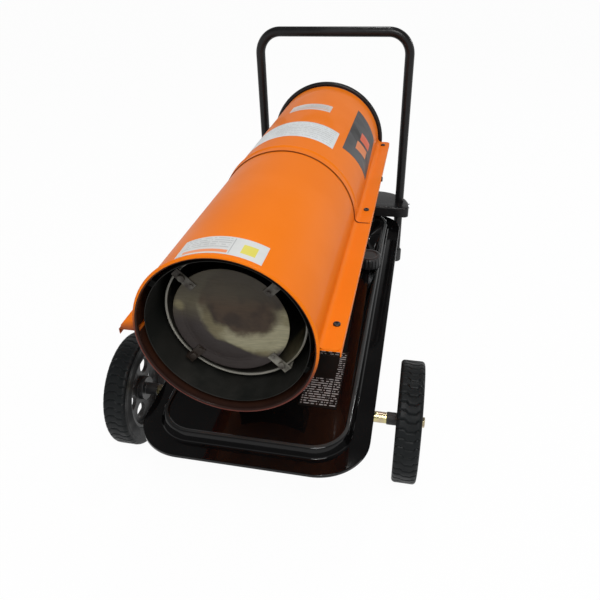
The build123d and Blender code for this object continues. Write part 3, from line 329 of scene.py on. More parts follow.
class Signal:
    # one output in a tree: arithmetic on it adds the node that does it
    def __init__(self, socket):
        self.socket, self.tree = socket, socket.id_data

    def maths(self, operation, other=0.0, clamp=False):
        return addNode(self.tree, "Math", {0: self, 1: other}, operation=operation, use_clamp=clamp)[0]

    __add__ = partialmethod(maths, "ADD")
    __sub__ = partialmethod(maths, "SUBTRACT")
    __mul__ = partialmethod(maths, "MULTIPLY")
    __truediv__ = partialmethod(maths, "DIVIDE")
    __gt__ = partialmethod(maths, "GREATER_THAN")
    __lt__ = partialmethod(maths, "LESS_THAN")
    __abs__ = partialmethod(maths, "ABSOLUTE")

    def spread(self, low, high, toLow=0.0, toHigh=1.0):
        # a soft step from toLow at low to toHigh at high
        ends = {"Value": self, "From Min": low, "From Max": high, "To Min": toLow, "To Max": toHigh}
        return addNode(self.tree, "MapRange", ends, interpolation_type="SMOOTHSTEP")["Result"]

    def between(self, low, high):
        return self.spread(0.0, 1.0, low, high)

    def blend(self, under, over):
        # one colour over another, where this mask is 1
        return addNode(self.tree, "Mix", {0: self, 6: under, 7: over}, data_type="RGBA")[2]

    def noise(self, scale, **inputs):
        return addNode(self.tree, "TexNoise", {"Vector": self, "Scale": scale, **inputs})["Fac"]

    def laid(self, **inputs):
        return addNode(self.tree, "Mapping", {"Vector": self, **inputs})[0]

    def split(self):
        axes = addNode(self.tree, "SeparateXYZ", {"Vector": self})
        return axes["X"], axes["Y"], axes["Z"]

    def beside(self, other):
        return addNode(self.tree, "CombineXYZ", {"X": self, "Y": other})[0]

    def distance(self, point=(0.0, 0.0, 0.0)):
        return addNode(self.tree, "VectorMath", {0: self, 1: point}, operation="DISTANCE")["Value"]

    def bumped(self, strength, depth):
        return addNode(self.tree, "Bump", {"Height": self, "Strength": strength, "Distance": depth})[0]


def addNode(tree, kind, inputs=(), **settings):
    # inputs are signals or values; a colour is three numbers, or one for a grey
    node = tree.nodes.new("ShaderNode" + kind)
    for key, value in settings.items():
        setattr(node, key, value)
    for key, value in dict(inputs).items():
        socket = node.inputs[key]
        if isinstance(value, Signal):
            tree.links.new(value.socket, socket)
        else:
            socket.default_value = (*(np.ones(3) * value), 1.0) if socket.type == "RGBA" else value
    return Outputs(node)


def objectSpot(tree):
    return addNode(tree, "TexCoord")["Object"]


def useEffect(tree, group, **inputs):
    return addNode(tree, "Group", inputs, node_tree=group)


def patchy(tree, scale, detail, low, high, stretch=(1.0, 1.0, 1.0)):
    return useEffect(tree, mottle, Scale=scale, Stretch=stretch, Detail=detail, Low=low, High=high)["Mask"]


def grainBump(tree, scale, strength, depth, stretch=(1.0, 1.0, 1.0)):
    return useEffect(tree, grain, Scale=scale, Stretch=stretch)["Height"].bumped(strength, depth)


def effect(name, **inputs):
    # turns the function below it into a node group with these inputs and the outputs it returns
    def made(fill):
        group = bpy.data.node_groups.new(name, "ShaderNodeTree")
        for key, value in inputs.items():
            kind = "NodeSocketVector" if isinstance(value, tuple) else "NodeSocketFloat"
            group.interface.new_socket(name=key, in_out="INPUT", socket_type=kind).default_value = value
        results = fill(group, Outputs(group.nodes.new("NodeGroupInput")))
        for key in results:
            group.interface.new_socket(name=key, in_out="OUTPUT", socket_type="NodeSocketFloat")
        ends = group.nodes.new("NodeGroupOutput").inputs
        for key, signal in results.items():
            group.links.new(signal.socket, ends[key])
        return group

    return made


@effect("mottle", Scale=20.0, Stretch=(1.0, 1.0, 1.0), Detail=4.0, Low=0.35, High=0.65)
def mottle(group, given):
    # soft patches in the object's own place
    spot = objectSpot(group).laid(Scale=given["Stretch"])
    mask = spot.noise(given["Scale"], Detail=given["Detail"]).spread(given["Low"], given["High"])
    return {"Mask": mask}


@effect("grain", Scale=700.0, Stretch=(1.0, 1.0, 1.0))
def grain(group, given):
    # fine height for powder coat, moulded plastic or rubber
    spot = objectSpot(group).laid(Scale=given["Stretch"])
    fine = spot.noise(given["Scale"] * 3.1)
    return {"Height": fine * 0.35 + spot.noise(given["Scale"], Detail=2.0)}


@effect("settledDust", Amount=0.1, Scale=26.0)
def settledDust(group, given):
    # dust that settles on what faces up, in uneven patches
    facing = addNode(group, "NewGeometry")["Normal"].split()[2].spread(0.1, 0.95)
    spot = objectSpot(group)
    patches = spot.noise(given["Scale"], Detail=6.0, Roughness=0.65).spread(0.36, 0.72)
    specks = spot.noise(900.0, Detail=1.0).spread(0.35, 0.62, 0.55, 1.0)
    return {"Mask": (facing * patches * specks).maths("MULTIPLY", given["Amount"], clamp=True)}


@effect("scuffs", Amount=0.3, Scale=30.0)
def scuffs(group, given):
    # thin scratches in two directions, and the odd spot
    lines = [
        objectSpot(group)
        .laid(Scale=stretch, Rotation=turn)
        .noise(given["Scale"], Detail=8.0, Roughness=0.75)
        .spread(0.64, 0.72)
        for stretch, turn in (((1.0, 14.0, 4.0), (0.2, 0.1, 0.7)), ((11.0, 1.0, 3.0), (0.5, 0.3, 0.3)))
    ]
    return {"Mask": lines[0].maths("MAXIMUM", lines[1]) * given["Amount"]}


@effect("printBlock", UV=(0.0, 0.0, 0.0), Left=0.0, Right=1.0, Low=0.0, High=1.0)
def printBlock(group, given):
    # 1 inside an upright rectangle of the piece's own UV
    across, up, _ = given["UV"].split()
    level = (up > given["Low"]) * (up < given["High"])
    return {"Mask": (across > given["Left"]) * (across < given["Right"]) * level}


@effect("ruledLines", UV=(0.0, 0.0, 0.0), Rows=8.0, Thickness=0.3, Break=14.0)
def ruledLines(group, given):
    # rows of broken lines inside a rectangle of the UV, as a printed table has from afar
    across, up, _ = given["UV"].split()
    place = up * given["Rows"]
    line = place.maths("FRACT") < given["Thickness"]
    cell = (across * given["Break"]).beside(place.maths("FLOOR") * 7.3)
    return {"Mask": line * cell.noise(1.0, Detail=2.0).spread(0.42, 0.5)}


# in metres: how far back the painted shade on the lip's lower side reaches, how uneven that is, over what
# height it fades, how it leans, where the inside of the sheet is, how deep the painted shade inside the mouth
# goes, and the width of the seam's painted shadow line
lipShadeSpan = {
    "back": (0.002, 0.03), "drift": 0.02, "fade": 0.03, "lean": 0.22, "inside": (0.1193, 0.1199),
    "deep": (0.05, 0.08), "seam": (0.0005, 0.0013), "soot": 0.96, "seamShade": 0.75,
}
# heights of the pale painted sheen along the crest of the tank's ridge
crest = {"from": 0.1474, "to": 0.1486}


@effect("browning")
def browning(group, given):
    # 1 where painted shade darkens the lower side of the outlet's lip, and along the seam between the upper
    # sheets: the rear sheet's edge, with a painted shadow where it laps over the front one; and, as its own
    # mask, where painted shade darkens the inside of the mouth
    spot = objectSpot(group)
    x, y, z = spot.split()
    lip = heater["length"] / -2000
    drift = (spot.noise(22.0, Detail=4.0) - 0.5) * lipShadeSpan["drift"]
    near = (y + drift).spread(lip + lipShadeSpan["back"][0], lip + lipShadeSpan["back"][1], 1.0, 0.0)
    height = z - axisHeight / 1000
    low = (height + x * lipShadeSpan["lean"]).spread(-lipShadeSpan["fade"], lipShadeSpan["fade"], 1.0, 0.0)
    inside = x.beside(height).distance().spread(*lipShadeSpan["inside"], lipShadeSpan["soot"], 0.0)
    deep = y.spread(lip + lipShadeSpan["deep"][0], lip + lipShadeSpan["deep"][1], 1.0, 0.0)
    seam = abs(y - (lip + heater["seamBack"] / 1000)).spread(*lipShadeSpan["seam"], lipShadeSpan["seamShade"], 0.0)
    return {"Mask": (low * near).maths("MAXIMUM", seam), "Inside": inside * deep}


@effect("crestBand")
def crestBand(group, given):
    # 1 along the crest of the tank's ridge, where a pale band of painted sheen is laid
    faded = patchy(group, 5.0, 2.0, 0.25, 0.75)
    return {"Mask": objectSpot(group).split()[2].spread(crest["from"], crest["to"]) * faded}


def newFinish(name, fill, *look):
    # fill gives either the inputs of a plain surface or a shader of its own
    material = bpy.data.materials.new(name)
    material.use_nodes = True
    tree = material.node_tree
    tree.nodes.clear()
    surface = fill(tree, *look)
    if isinstance(surface, dict):
        surface = addNode(tree, "BsdfPrincipled", surface)[0]
    addNode(tree, "OutputMaterial", {"Surface": surface})
    return material


plainLook = {
    "patchScale": 14.0, "stretch": (1.0, 1.0, 1.0), "scuff": 0.4, "dust": 0.12,
    "dustColour": (0.42, 0.39, 0.35), "grainScale": 600.0, "grainStretch": (1.0, 1.0, 1.0),
    "grainStrength": 0.1, "metallic": 0.0, "specular": 0.5, "coat": 0.0, "coatRough": 0.08,
    "grainDepth": 0.0004, "rimWidth": 0.0012,
}


def commonFinish(tree, look):
    # one base with softer patches, scuffs that change the gloss, a fine grain and settled dust
    look = {**plainLook, **look}
    patches = patchy(tree, look["patchScale"], 5.0, 0.3, 0.7, look["stretch"])
    worn = useEffect(tree, scuffs, Amount=look["scuff"])["Mask"]
    base = (worn * 0.5).blend(patches.blend(look["colour"], look["shade"]), look["wear"])
    # painted shade on the lip's lower side and inside the mouth, and the seam's painted shadow line
    if "browned" in look:
        shadeMasks = useEffect(tree, browning)
        base = shadeMasks["Inside"].blend(shadeMasks["Mask"].blend(base, look["browned"]), look["sooted"])
    # a pale painted sheen along the crest of the tank's ridge
    if "crest" in look:
        onCrestSheen = useEffect(tree, crestBand)["Mask"]
        base = onCrestSheen.blend(base, look["crest"])
    # a painted highlight along the chamber's rolled front bead
    if "rim" in look:
        back = look["rim"]["back"]
        rimHighlight = objectSpot(tree).split()[1].spread(back - look["rimWidth"], back, 1.0, 0.0)
        base = rimHighlight.blend(base, look["rim"]["colour"])
    if "tempered" in look:
        patch = look["tempered"]
        away = objectSpot(tree).distance(patch["at"])
        ball = away.spread(0.5 * patch["radius"], patch["radius"], 1.0, 0.0)
        base = ball.blend(base, patches.blend(patch["colour"], patch["edge"]))
    dust = useEffect(tree, settledDust, Amount=look["dust"])["Mask"]
    rough = patches.between(*look["rough"]) + worn * 0.25
    rough = rough.maths("ADD", dust * 0.6, clamp=True)
    if "crest" in look:
        rough = rough + onCrestSheen * 0.22
    grained = (look["grainScale"], look["grainStrength"], look["grainDepth"], look["grainStretch"])
    normal = grainBump(tree, *grained)
    return {
        "Base Color": dust.blend(base, look["dustColour"]), "Roughness": rough, "Normal": normal,
        "Metallic": look["metallic"], "Specular IOR Level": look["specular"],
        "Coat Weight": look["coat"], "Coat Roughness": look["coatRough"],
        **({"Coat Normal": normal} if look["coat"] else {}),
    }


def looked(colour, shade, wear, rough, **others):
    return {"colour": colour, "shade": shade, "wear": wear, "rough": rough, **others}


commonLooks = {
    "orange_paint": looked(
        (0.8, 0.18, 0.004), (0.77, 0.17, 0.004), (0.82, 0.22, 0.02), (0.44, 0.52), specular=0.06, coat=0.08,
        coatRough=0.04, dust=0.01, scuff=0.15, patchScale=7.0, grainScale=420.0, grainStrength=0.05,
        # these two colours are painted shade: on the lip's lower side, and inside the mouth
        dustColour=(0.8, 0.45, 0.25), browned=(0.11, 0.026, 0.018), sooted=(0.017, 0.009, 0.007),
    ),
    "black_gloss": looked(
        (0.0022, 0.0021, 0.0023), (0.0035, 0.0033, 0.0035), (0.012, 0.012, 0.013), (0.07, 0.09),
        # the pale crest colour is a painted sheen along the ridge
        specular=0.1, crest=(0.045, 0.048, 0.048), coat=0.3, coatRough=0.03, dust=0.005, scuff=0.1,
        patchScale=11.0, grainScale=45.0, dustColour=(0.3, 0.29, 0.27),
    ),
    "black_frame": looked(
        (0.008, 0.0078, 0.0085), (0.013, 0.0125, 0.013), 0.05, (0.24, 0.34), specular=0.22, dust=0.02,
        grainScale=900.0, dustColour=(0.26, 0.25, 0.24),
    ),
    "black_screw": looked(
        (0.01, 0.01, 0.011), (0.018, 0.017, 0.016), (0.12, 0.11, 0.1), (0.32, 0.46), dust=0.05,
        grainScale=1600.0, grainStrength=0.12,
    ),
    "dark_liner": looked(
        (0.0085, 0.0095, 0.0085), (0.013, 0.0125, 0.0105), (0.04, 0.038, 0.03), (0.42, 0.62), specular=0.2,
        patchScale=18.0, stretch=(1.0, 0.25, 1.0), dust=0.03, grainScale=900.0, grainStrength=0.18,
    ),
    "hot_steel": looked(
        (0.47, 0.44, 0.38), (0.24, 0.19, 0.14), (0.66, 0.62, 0.55), (0.3, 0.5), metallic=1.0,
        patchScale=22.0, stretch=(1.0, 0.5, 1.0), dust=0.0, grainScale=500.0, grainStretch=(1.0, 14.0, 1.0),
        grainStrength=0.2,
    ),
    "chamber_steel": looked(
        (0.04, 0.037, 0.03), (0.022, 0.019, 0.015), (0.08, 0.076, 0.062), (0.38, 0.6),
        # the bright rim colour is a painted highlight on the chamber's front bead
        rim={"back": -0.4262, "colour": (0.26, 0.25, 0.215)},
        tempered={
            "at": (0.083, -0.395, 0.317), "radius": 0.05, "colour": (0.24, 0.21, 0.12),
            "edge": (0.12, 0.1, 0.06),
        },
        metallic=0.1, patchScale=20.0, stretch=(1.0, 0.5, 1.0), dust=0.0, grainScale=500.0,
        grainStretch=(1.0, 14.0, 1.0), grainStrength=0.2,
    ),
    "zinc": looked(
        (0.62, 0.63, 0.65), (0.5, 0.51, 0.53), 0.72, (0.24, 0.38), metallic=1.0, dust=0.03, patchScale=40.0,
        grainScale=800.0,
    ),
    "yellow_zinc": looked(
        (0.62, 0.56, 0.27), (0.5, 0.4, 0.3), (0.7, 0.66, 0.42), (0.2, 0.34), metallic=1.0, dust=0.03,
        patchScale=60.0, grainScale=900.0,
    ),
    "brass": looked(
        (0.66, 0.46, 0.17), (0.52, 0.33, 0.12), (0.78, 0.6, 0.3), (0.24, 0.4), metallic=1.0, dust=0.03,
        patchScale=45.0,
    ),
    "copper": looked(
        (0.72, 0.34, 0.2), (0.45, 0.2, 0.12), (0.85, 0.5, 0.34), (0.22, 0.42), metallic=1.0, dust=0.03,
        patchScale=38.0,
    ),
    "white_ceramic": looked(
        (0.74, 0.72, 0.66), (0.62, 0.58, 0.5), (0.5, 0.42, 0.32), (0.12, 0.25), dust=0.05,
        grainStrength=0.04,
    ),
    "sensor_black": looked((0.016, 0.016, 0.018), (0.024, 0.024, 0.026), 0.06, (0.38, 0.52), dust=0.06),
    "motor_grey": looked(
        (0.06, 0.064, 0.068), (0.045, 0.048, 0.052), 0.2, (0.34, 0.48), dust=0.14, grainScale=900.0,
        grainStrength=0.16,
    ),
    "cast_aluminium": looked(
        0.56, (0.44, 0.44, 0.45), 0.7, (0.38, 0.56), metallic=1.0, dust=0.08, grainScale=520.0,
        grainStrength=0.45,
    ),
    "carbon": looked((0.022, 0.022, 0.023), (0.034, 0.034, 0.035), 0.1, (0.42, 0.58), dust=0.02),
    "fan_metal": looked(
        (0.58, 0.59, 0.6), (0.46, 0.47, 0.48), 0.72, (0.26, 0.42), metallic=1.0,
        grainStretch=(1.0, 1.0, 9.0), grainStrength=0.14,
    ),
    "gauge_face": looked((0.045, 0.045, 0.048), (0.06, 0.06, 0.062), 0.2, (0.25, 0.38), dust=0.06),
    "pointer_red": looked(
        (0.6, 0.03, 0.018), (0.52, 0.024, 0.014), (0.66, 0.1, 0.08), (0.28, 0.38), dust=0.02,
    ),
    "black_plastic": looked(
        (0.011, 0.011, 0.012), (0.017, 0.017, 0.018), 0.07, (0.3, 0.46), dust=0.07, grainScale=1300.0,
        grainStrength=0.2, dustColour=(0.3, 0.29, 0.27),
    ),
    "rocker_red": looked(
        (0.55, 0.02, 0.014), (0.46, 0.016, 0.011), (0.62, 0.1, 0.08), (0.14, 0.24), coat=0.3, dust=0.04,
        grainStrength=0.03,
    ),
    "float_plastic": looked((0.5, 0.47, 0.38), (0.42, 0.38, 0.29), (0.6, 0.56, 0.48), (0.4, 0.55), dust=0.0),
    "mesh_plastic": looked((0.055, 0.058, 0.06), (0.04, 0.042, 0.044), 0.16, (0.38, 0.52), dust=0.03),
    "board_green": looked(
        (0.018, 0.105, 0.04), (0.013, 0.08, 0.031), (0.1, 0.22, 0.12), (0.22, 0.34), dust=0.1,
        patchScale=70.0,
    ),
    "transformer_resin": looked(
        (0.02, 0.019, 0.018), (0.03, 0.028, 0.027), 0.08, (0.3, 0.5), grainStrength=0.2,
    ),
    "rubber_black": looked(
        0.018, (0.027, 0.026, 0.025), 0.08, (0.55, 0.72), dust=0.1, grainScale=1100.0, grainStrength=0.25,
    ),
    "clear_hose": looked(
        (0.36, 0.37, 0.36), (0.3, 0.31, 0.3), 0.46, (0.14, 0.26), coat=0.2, dust=0.05, grainStrength=0.04,
    ),
    "hub_plastic": looked(
        (0.013, 0.013, 0.014), (0.02, 0.02, 0.021), 0.07, (0.32, 0.48), dust=0.1, grainScale=1200.0,
        grainStrength=0.18,
    ),
}


def feltFinish(tree):
    fibres = patchy(tree, 700.0, 6.0, 0.3, 0.7, (1.0, 1.0, 3.0))
    base = fibres.blend((0.34, 0.32, 0.28), (0.62, 0.60, 0.54))
    normal = fibres.bumped(0.7, 0.0006)
    return {"Base Color": base, "Normal": normal, "Roughness": 0.95, "Sheen Weight": 0.3}


def clearFinish(tree):
    smudges = patchy(tree, 120.0, 4.0, 0.35, 0.75)
    tint = smudges.blend((0.93, 0.95, 0.95), (0.86, 0.88, 0.88))
    rough = smudges.between(0.02, 0.09)
    return {"Base Color": tint, "Roughness": rough, "Transmission Weight": 1.0, "IOR": 1.49}


def displayFinish(tree):
    # a dark window, off, with faint unlit figures behind it
    patches = patchy(tree, 300.0, 3.0, 0.3, 0.7)
    base = patches.blend((0.010, 0.008, 0.008), (0.032, 0.014, 0.012))
    return {"Base Color": base, "Roughness": patches.between(0.05, 0.12), "Coat Weight": 0.6}


def printSpot(tree):
    return addNode(tree, "UVMap", uv_map="print")["UV"]


def printFinish(tree, look):
    # a printed sheet: blocks of plain colour and rows of broken lines laid over the paper
    uv = printSpot(tree)
    across, up, _ = uv.split()
    stain = patchy(tree, 22.0, 6.0, 0.3, 0.75)
    base = stain.blend(look["paper"], look["aged"])
    for mark in look["marks"]:
        left, right, low, high = mark["box"]
        spot = (across + up * mark["lean"]).beside(up) if "lean" in mark else uv
        mask = useEffect(tree, printBlock, UV=spot, Left=left, Right=right, Low=low, High=high)["Mask"]
        if "rows" in mark:
            rows, thickness, broken = mark["rows"]
            mask = mask * useEffect(tree, ruledLines, UV=uv, Rows=rows, Thickness=thickness, Break=broken)[0]
        base = (mask * mark.get("strength", 0.9)).blend(base, mark["colour"])
    return {
        "Base Color": base, "Roughness": stain.between(*look["rough"]),
        "Normal": grainBump(tree, 700.0, 0.06, 0.0004),
        "Specular IOR Level": look.get("specular", plainLook["specular"]),
    }


inkGrey = (0.22, 0.22, 0.23)
paperRough, darkRough = (0.30, 0.45), (0.34, 0.46)
# rows of a mark: how many to the sheet's height, the share that is ink, and how often they break
printLooks = {
    "wideLabel": {
        "paper": (0.66, 0.69, 0.70), "aged": (0.60, 0.62, 0.62), "rough": paperRough,
        "marks": [
            {"box": (0.03, 0.97, 0.10, 0.92), "rows": (9.0, 0.30, 46.0), "colour": inkGrey, "strength": 0.45},
            {"box": (0.0, 1.0, 0.955, 1.0), "colour": inkGrey, "strength": 0.25},
        ],
    },
    "smallLabel": {
        "paper": (0.60, 0.56, 0.54), "aged": (0.54, 0.50, 0.48), "rough": paperRough,
        "marks": [
            {"box": (0.06, 0.94, 0.42, 0.86), "rows": (7.0, 0.42, 20.0), "colour": inkGrey, "strength": 0.55},
            {"box": (0.05, 0.95, 0.22, 0.30), "colour": (0.62, 0.20, 0.06), "strength": 0.8},
        ],
    },
    "frontLabel": {
        "paper": (0.62, 0.63, 0.62), "aged": (0.55, 0.56, 0.55), "rough": paperRough,
        "marks": [
            {"box": (0.04, 0.60, 0.30, 0.92), "rows": (8.0, 0.36, 24.0), "colour": inkGrey, "strength": 0.5},
            {"box": (0.735, 0.90, 0.22, 0.70), "colour": (0.66, 0.58, 0.03)},
            {"box": (0.615, 0.625, 0.06, 0.94), "colour": inkGrey, "strength": 0.6},
            {"box": (0.08, 0.60, 0.08, 0.24), "colour": (0.80, 0.21, 0.04)},
        ],
    },
    "sideDecal": {
        "paper": (0.040, 0.040, 0.042), "aged": (0.052, 0.052, 0.054), "rough": darkRough,
        "specular": 0.15, "marks": [
            {"box": (0.42, 0.66, -1.0, 2.0), "lean": 0.35, "colour": (0.010, 0.010, 0.011)},
            {"box": (0.16, 0.34, 0.30, 0.72), "lean": -0.12, "colour": (0.72, 0.20, 0.05)},
            {"box": (0.40, 0.58, 0.36, 0.78), "lean": -0.12, "colour": (0.70, 0.11, 0.04)},
        ],
    },
    "plate_black": {
        "paper": (0.0065, 0.0060, 0.0056), "aged": (0.0085, 0.0080, 0.0074), "rough": darkRough,
        "specular": 0.15, "marks": [
            {"box": box, "rows": (26.0, 0.42, 16.0), "colour": (tone, tone, tone), "strength": strength}
            for box, tone, strength in (
                ((0.04, 0.76, 0.03, 0.50), 0.46, 0.85), ((0.80, 0.97, 0.03, 0.97), 0.46, 0.85),
                ((0.04, 0.76, 0.90, 0.98), 0.40, 0.8),
            )
        ],
    },
}
dial = {"ticks": 24, "tickWidth": 0.10, "from": 0.72, "to": 0.90}


def dialFinish(tree):
    # a printed dial: ticks on a ring, from the angle and radius of the piece's own UV
    uv = printSpot(tree)
    across, up, _ = uv.split()
    turns = up.maths("ARCTAN2", across) * (dial["ticks"] / (2 * np.pi))
    radius = uv.distance()
    tick = abs((turns + 0.5).maths("FRACT") - 0.5) < dial["tickWidth"]
    mask = tick * ((radius > dial["from"]) * (radius < dial["to"]))
    stain = patchy(tree, 90.0, 4.0, 0.3, 0.75)
    base = mask.blend(stain.blend((0.72, 0.72, 0.70), (0.64, 0.63, 0.60)), (0.02, 0.02, 0.02))
    return {"Base Color": base, "Roughness": stain.between(0.25, 0.4), "Specular IOR Level": 0.4}


finishes = {name: newFinish(name, commonFinish, look) for name, look in commonLooks.items()}
finishes |= {name: newFinish(name, printFinish, look) for name, look in printLooks.items()}
for name, fill in (
    ("filter_felt", feltFinish), ("clear_plastic", clearFinish), ("darkDisplay", displayFinish),
    ("dialPrint", dialFinish),
):
    finishes[name] = newFinish(name, fill)
print("common finishes made:", len(finishes))


# The three sheets of the shell
shell = {
    "radius": 120.0, "sheet": 1.2, "length": 812.0, "jointBack": 368.0, "jointLap": 24.0,
    "lapGap": 0.6, "flangeOut": 149.0, "flangeDrop": 2.5, "flangeFront": 8.0, "fillet": 9.0,
    "corner": 9.0, "roll": 2.8, "rollPlace": 120.2, "beadBack": 390.0, "beadWidth": 13.0,
    "beadHeight": 1.8, "fold": 9.0, "foldBend": 0.3, "lowerFillet": 3.0, "rootEase": 7.0,
    "lapStart": 0.6, "lapRun": 2.2, "lipLap": 0.03, "aroundSteps": 170,
    "upperFlat": (148.0, 147.3, 146.3, 145.0, 143.3, 141.5, 139.5, 136.0, 132.0),
    "lowerFlat": (146.0, 144.5, 142.0, 138.0, 132.0, 127.0),
}
tipShare = np.array([0, 0.5, 0.87, 1.0])  # of the sheet's thickness, as its edge rounds off
tipBack = shell["sheet"] / 2 * (1 - np.sqrt(1 - tipShare**2))


def crossSection(runs):
    # each run gives points, the way into the sheet, its thickness share, and its share of circle
    return {key: np.concatenate([run[key] for run in runs]) for key in runs[0]}


def mirroredRun(run):
    flipped = {key: value[::-1].copy() for key, value in run.items()}
    flipped["at"][:, 0] *= -1
    flipped["inward"][:, 0] *= -1
    return flipped


def oneRun(at, inward, thickness=1.0, circle=0.0, flat=1.0):
    count = len(at)
    return {
        "at": np.asarray(at, float),
        "inward": np.asarray(inward, float) + np.zeros((count, 2)),
        "thickness": thickness + np.zeros(count),
        "circle": circle + np.zeros(count),
        "flat": flat + np.zeros(count),
    }


def wholeSection(half, radius, start, end):
    # the runs of one side, the circle between them without its two ends, and the other side
    at = arc((0, 0), radius, start, end, shell["aroundSteps"])
    along = np.linspace(0, abs(np.radians(end - start)) * radius, len(at))
    circle = smooth(np.minimum(along, along[::-1]) / shell["rootEase"])
    over = oneRun(at, -at / radius, 1.0, circle, 0.0)
    half = crossSection(half)
    return crossSection([half, {key: value[1:-1] for key, value in over.items()}, mirroredRun(half)])


def upperSection(radius):
    drop, bend = shell["flangeDrop"], shell["fillet"]
    lift = bend - drop
    centre = (np.sqrt((radius + bend) ** 2 - lift**2), lift)
    touch = np.degrees(np.arcsin(lift / (radius + bend)))
    tip = oneRun(stacked(shell["flangeOut"] - tipBack, -drop), (0, -1), tipShare)
    flat = oneRun(stacked(shell["upperFlat"], -drop), (0, -1))
    curve = arc(centre, bend, -90, touch - 180, 10)
    fillet = oneRun(curve, (curve - centre) / bend, 1.0, 0.0, smooth(np.linspace(1, 0, 10)))
    return wholeSection([tip, flat, fillet], radius, touch, 180 - touch)


def lowerSection():
    radius, sheet, bend, fold = (shell[key] for key in ("radius", "sheet", "foldBend", "lowerFillet"))
    under = -shell["flangeDrop"] - 2 * sheet
    inner = shell["flangeOut"] - sheet
    tip = oneRun(stacked(inner, under + sheet - shell["fold"] + tipBack), (1, 0), tipShare)
    corner = arc((inner - bend, under - bend), bend, 0, 90, 6)
    turn = oneRun(corner, (corner - (inner - bend, under - bend)) / bend)
    flat = oneRun(stacked(shell["lowerFlat"], under), (0, 1))
    centre = (np.sqrt((radius + fold) ** 2 - (under - fold) ** 2), under - fold)
    touch = np.degrees(np.arcsin((fold - under) / (radius + fold)))
    curve = arc(centre, fold, 90, 180 - touch, 8)
    fillet = oneRun(curve, (curve - centre) / fold)
    return wholeSection([tip, turn, flat, fillet], radius, -touch, touch - 180)


def sheetLoop(stations, rolled):
    # (y, depth into the sheet) once round a lengthwise cut: out along the skin, back underneath
    sheet = shell["sheet"]
    start, end, half = stations[0], stations[-1], sheet / 2
    rear = arc((end - half, half), half, -90, 90, 6)
    skin = stacked(stations[1:-1], 0)
    if rolled:
        # the rolled lip: a circle whose middle lies a little outside the skin
        roll, deep = shell["roll"], shell["radius"] - shell["rollPlace"]
        inside, outside = np.degrees(np.arcsin([(sheet - deep) / roll, -deep / roll]))
        front = arc((start + roll, deep), roll, inside, 360 + outside, 26)
    else:
        front = arc((start + half, half), half, 90, 270, 6)
    return np.concatenate([skin, rear, skin[::-1] + [0, sheet], front])


def cornerBack(out):
    # how far a flange's rounded corner stands back from its end, from the distance out
    over = np.clip(np.abs(out) - shell["flangeOut"] + shell["corner"], 0, shell["corner"])
    return shell["corner"] - np.sqrt(shell["corner"] ** 2 - over**2)


def bentSheet(section, loop, fronts, rears, lift=None, swell=None):
    sheet = shell["sheet"]
    along, depth = loop.T[..., None]
    y = fronts + (along - along.min()) * (rears - fronts) / (along.max() - along.min())
    within = np.clip(depth, 0, sheet)
    depth = within + (depth - within) * section["circle"]
    depth = sheet / 2 + (depth - sheet / 2) * section["thickness"]
    if swell:
        depth = depth - swell(y) * section["circle"]
    rise = lift(y) * section["flat"] if lift else 0
    x, z = (section["at"][:, i] + depth * section["inward"][:, i] for i in (0, 1))
    return wrapped(stacked(x, y, z + rise + axisHeight), rowLoop=True, columnLoop=False)


def lipEnds(first, last):
    # the lip runs on past the roots of the flanges, to where the upper and lower sheets meet
    stations = np.array([0, 6, 7, 7.6, 8.3])
    loop = sheetLoop(stations, True)
    radius = shell["radius"] - shell["lipLap"]
    ends = []
    for start, end in ((first, last), (180 - last, 180 - first)):
        at = arc((0, 0), radius, start, end, 10)
        ends.append(bentSheet(oneRun(at, -at / radius, 1.0, 1.0, 0.0), loop, np.zeros(10), stations[-1]))
    return ends


def lippedSheet(name, node, section, stations, fronts, ends):
    fronts = fronts + shell["flangeFront"] * (1 - section["circle"])
    sheet = bentSheet(section, sheetLoop(stations, True), fronts, stations[-1])
    newPiece(name, joined(sheet, *lipEnds(*ends)), node)


def frontShell():
    section = upperSection(shell["radius"])
    rear = shell["jointBack"] + shell["jointLap"]
    stations = np.concatenate([[0, 6, 7, 9, 12, 16, 22], np.linspace(30, rear - 4, 19), [rear - 1, rear]])
    back = cornerBack(section["at"][:, 0])
    lippedSheet("frontShell", "front_upper_shell", section, stations, back, (-1.7, 6.6))


def rearShell():
    section = upperSection(shell["radius"] + shell["lapGap"] + shell["sheet"])
    front, rear = shell["jointBack"], shell["length"]
    lapEnd, bead = front + shell["jointLap"], shell["beadBack"]
    reach = shell["beadWidth"] / 2 + 0.5

    def beadHeight(y):
        # one swell of a cosine
        off = np.clip((y - bead) / shell["beadWidth"], -0.5, 0.5)
        return shell["beadHeight"] * (0.5 + 0.5 * np.cos(2 * np.pi * off))

    def lapLift(y):
        return shell["sheet"] * (1 - smooth((y - lapEnd + shell["lapStart"]) / shell["lapRun"]))

    stations = np.concatenate(
        [
            [front, front + 1, front + 3, front + 10], np.linspace(bead - reach, bead + reach, 29),
            [bead + 9, bead + 14, bead + 24, bead + 40], np.linspace(bead + 60, rear - 6, 18),
            [rear - 1, rear],
        ]
    )
    back = cornerBack(section["at"][:, 0])
    loop = sheetLoop(stations, False)
    sheet = bentSheet(section, loop, front + back, rear - back, lapLift, beadHeight)
    newPiece("rearShell", sheet, "rear_upper_shell")


def lowerShell():
    rear = shell["length"]
    stations = np.concatenate([[0, 6, 7, 9, 12, 20], np.linspace(40, rear - 3, 24), [rear]])
    lippedSheet("lowerShell", "lower_shell", lowerSection(), stations, 0, (-7.4, -1.85))


frontShell()
rearShell()
lowerShell()
print("shell made")


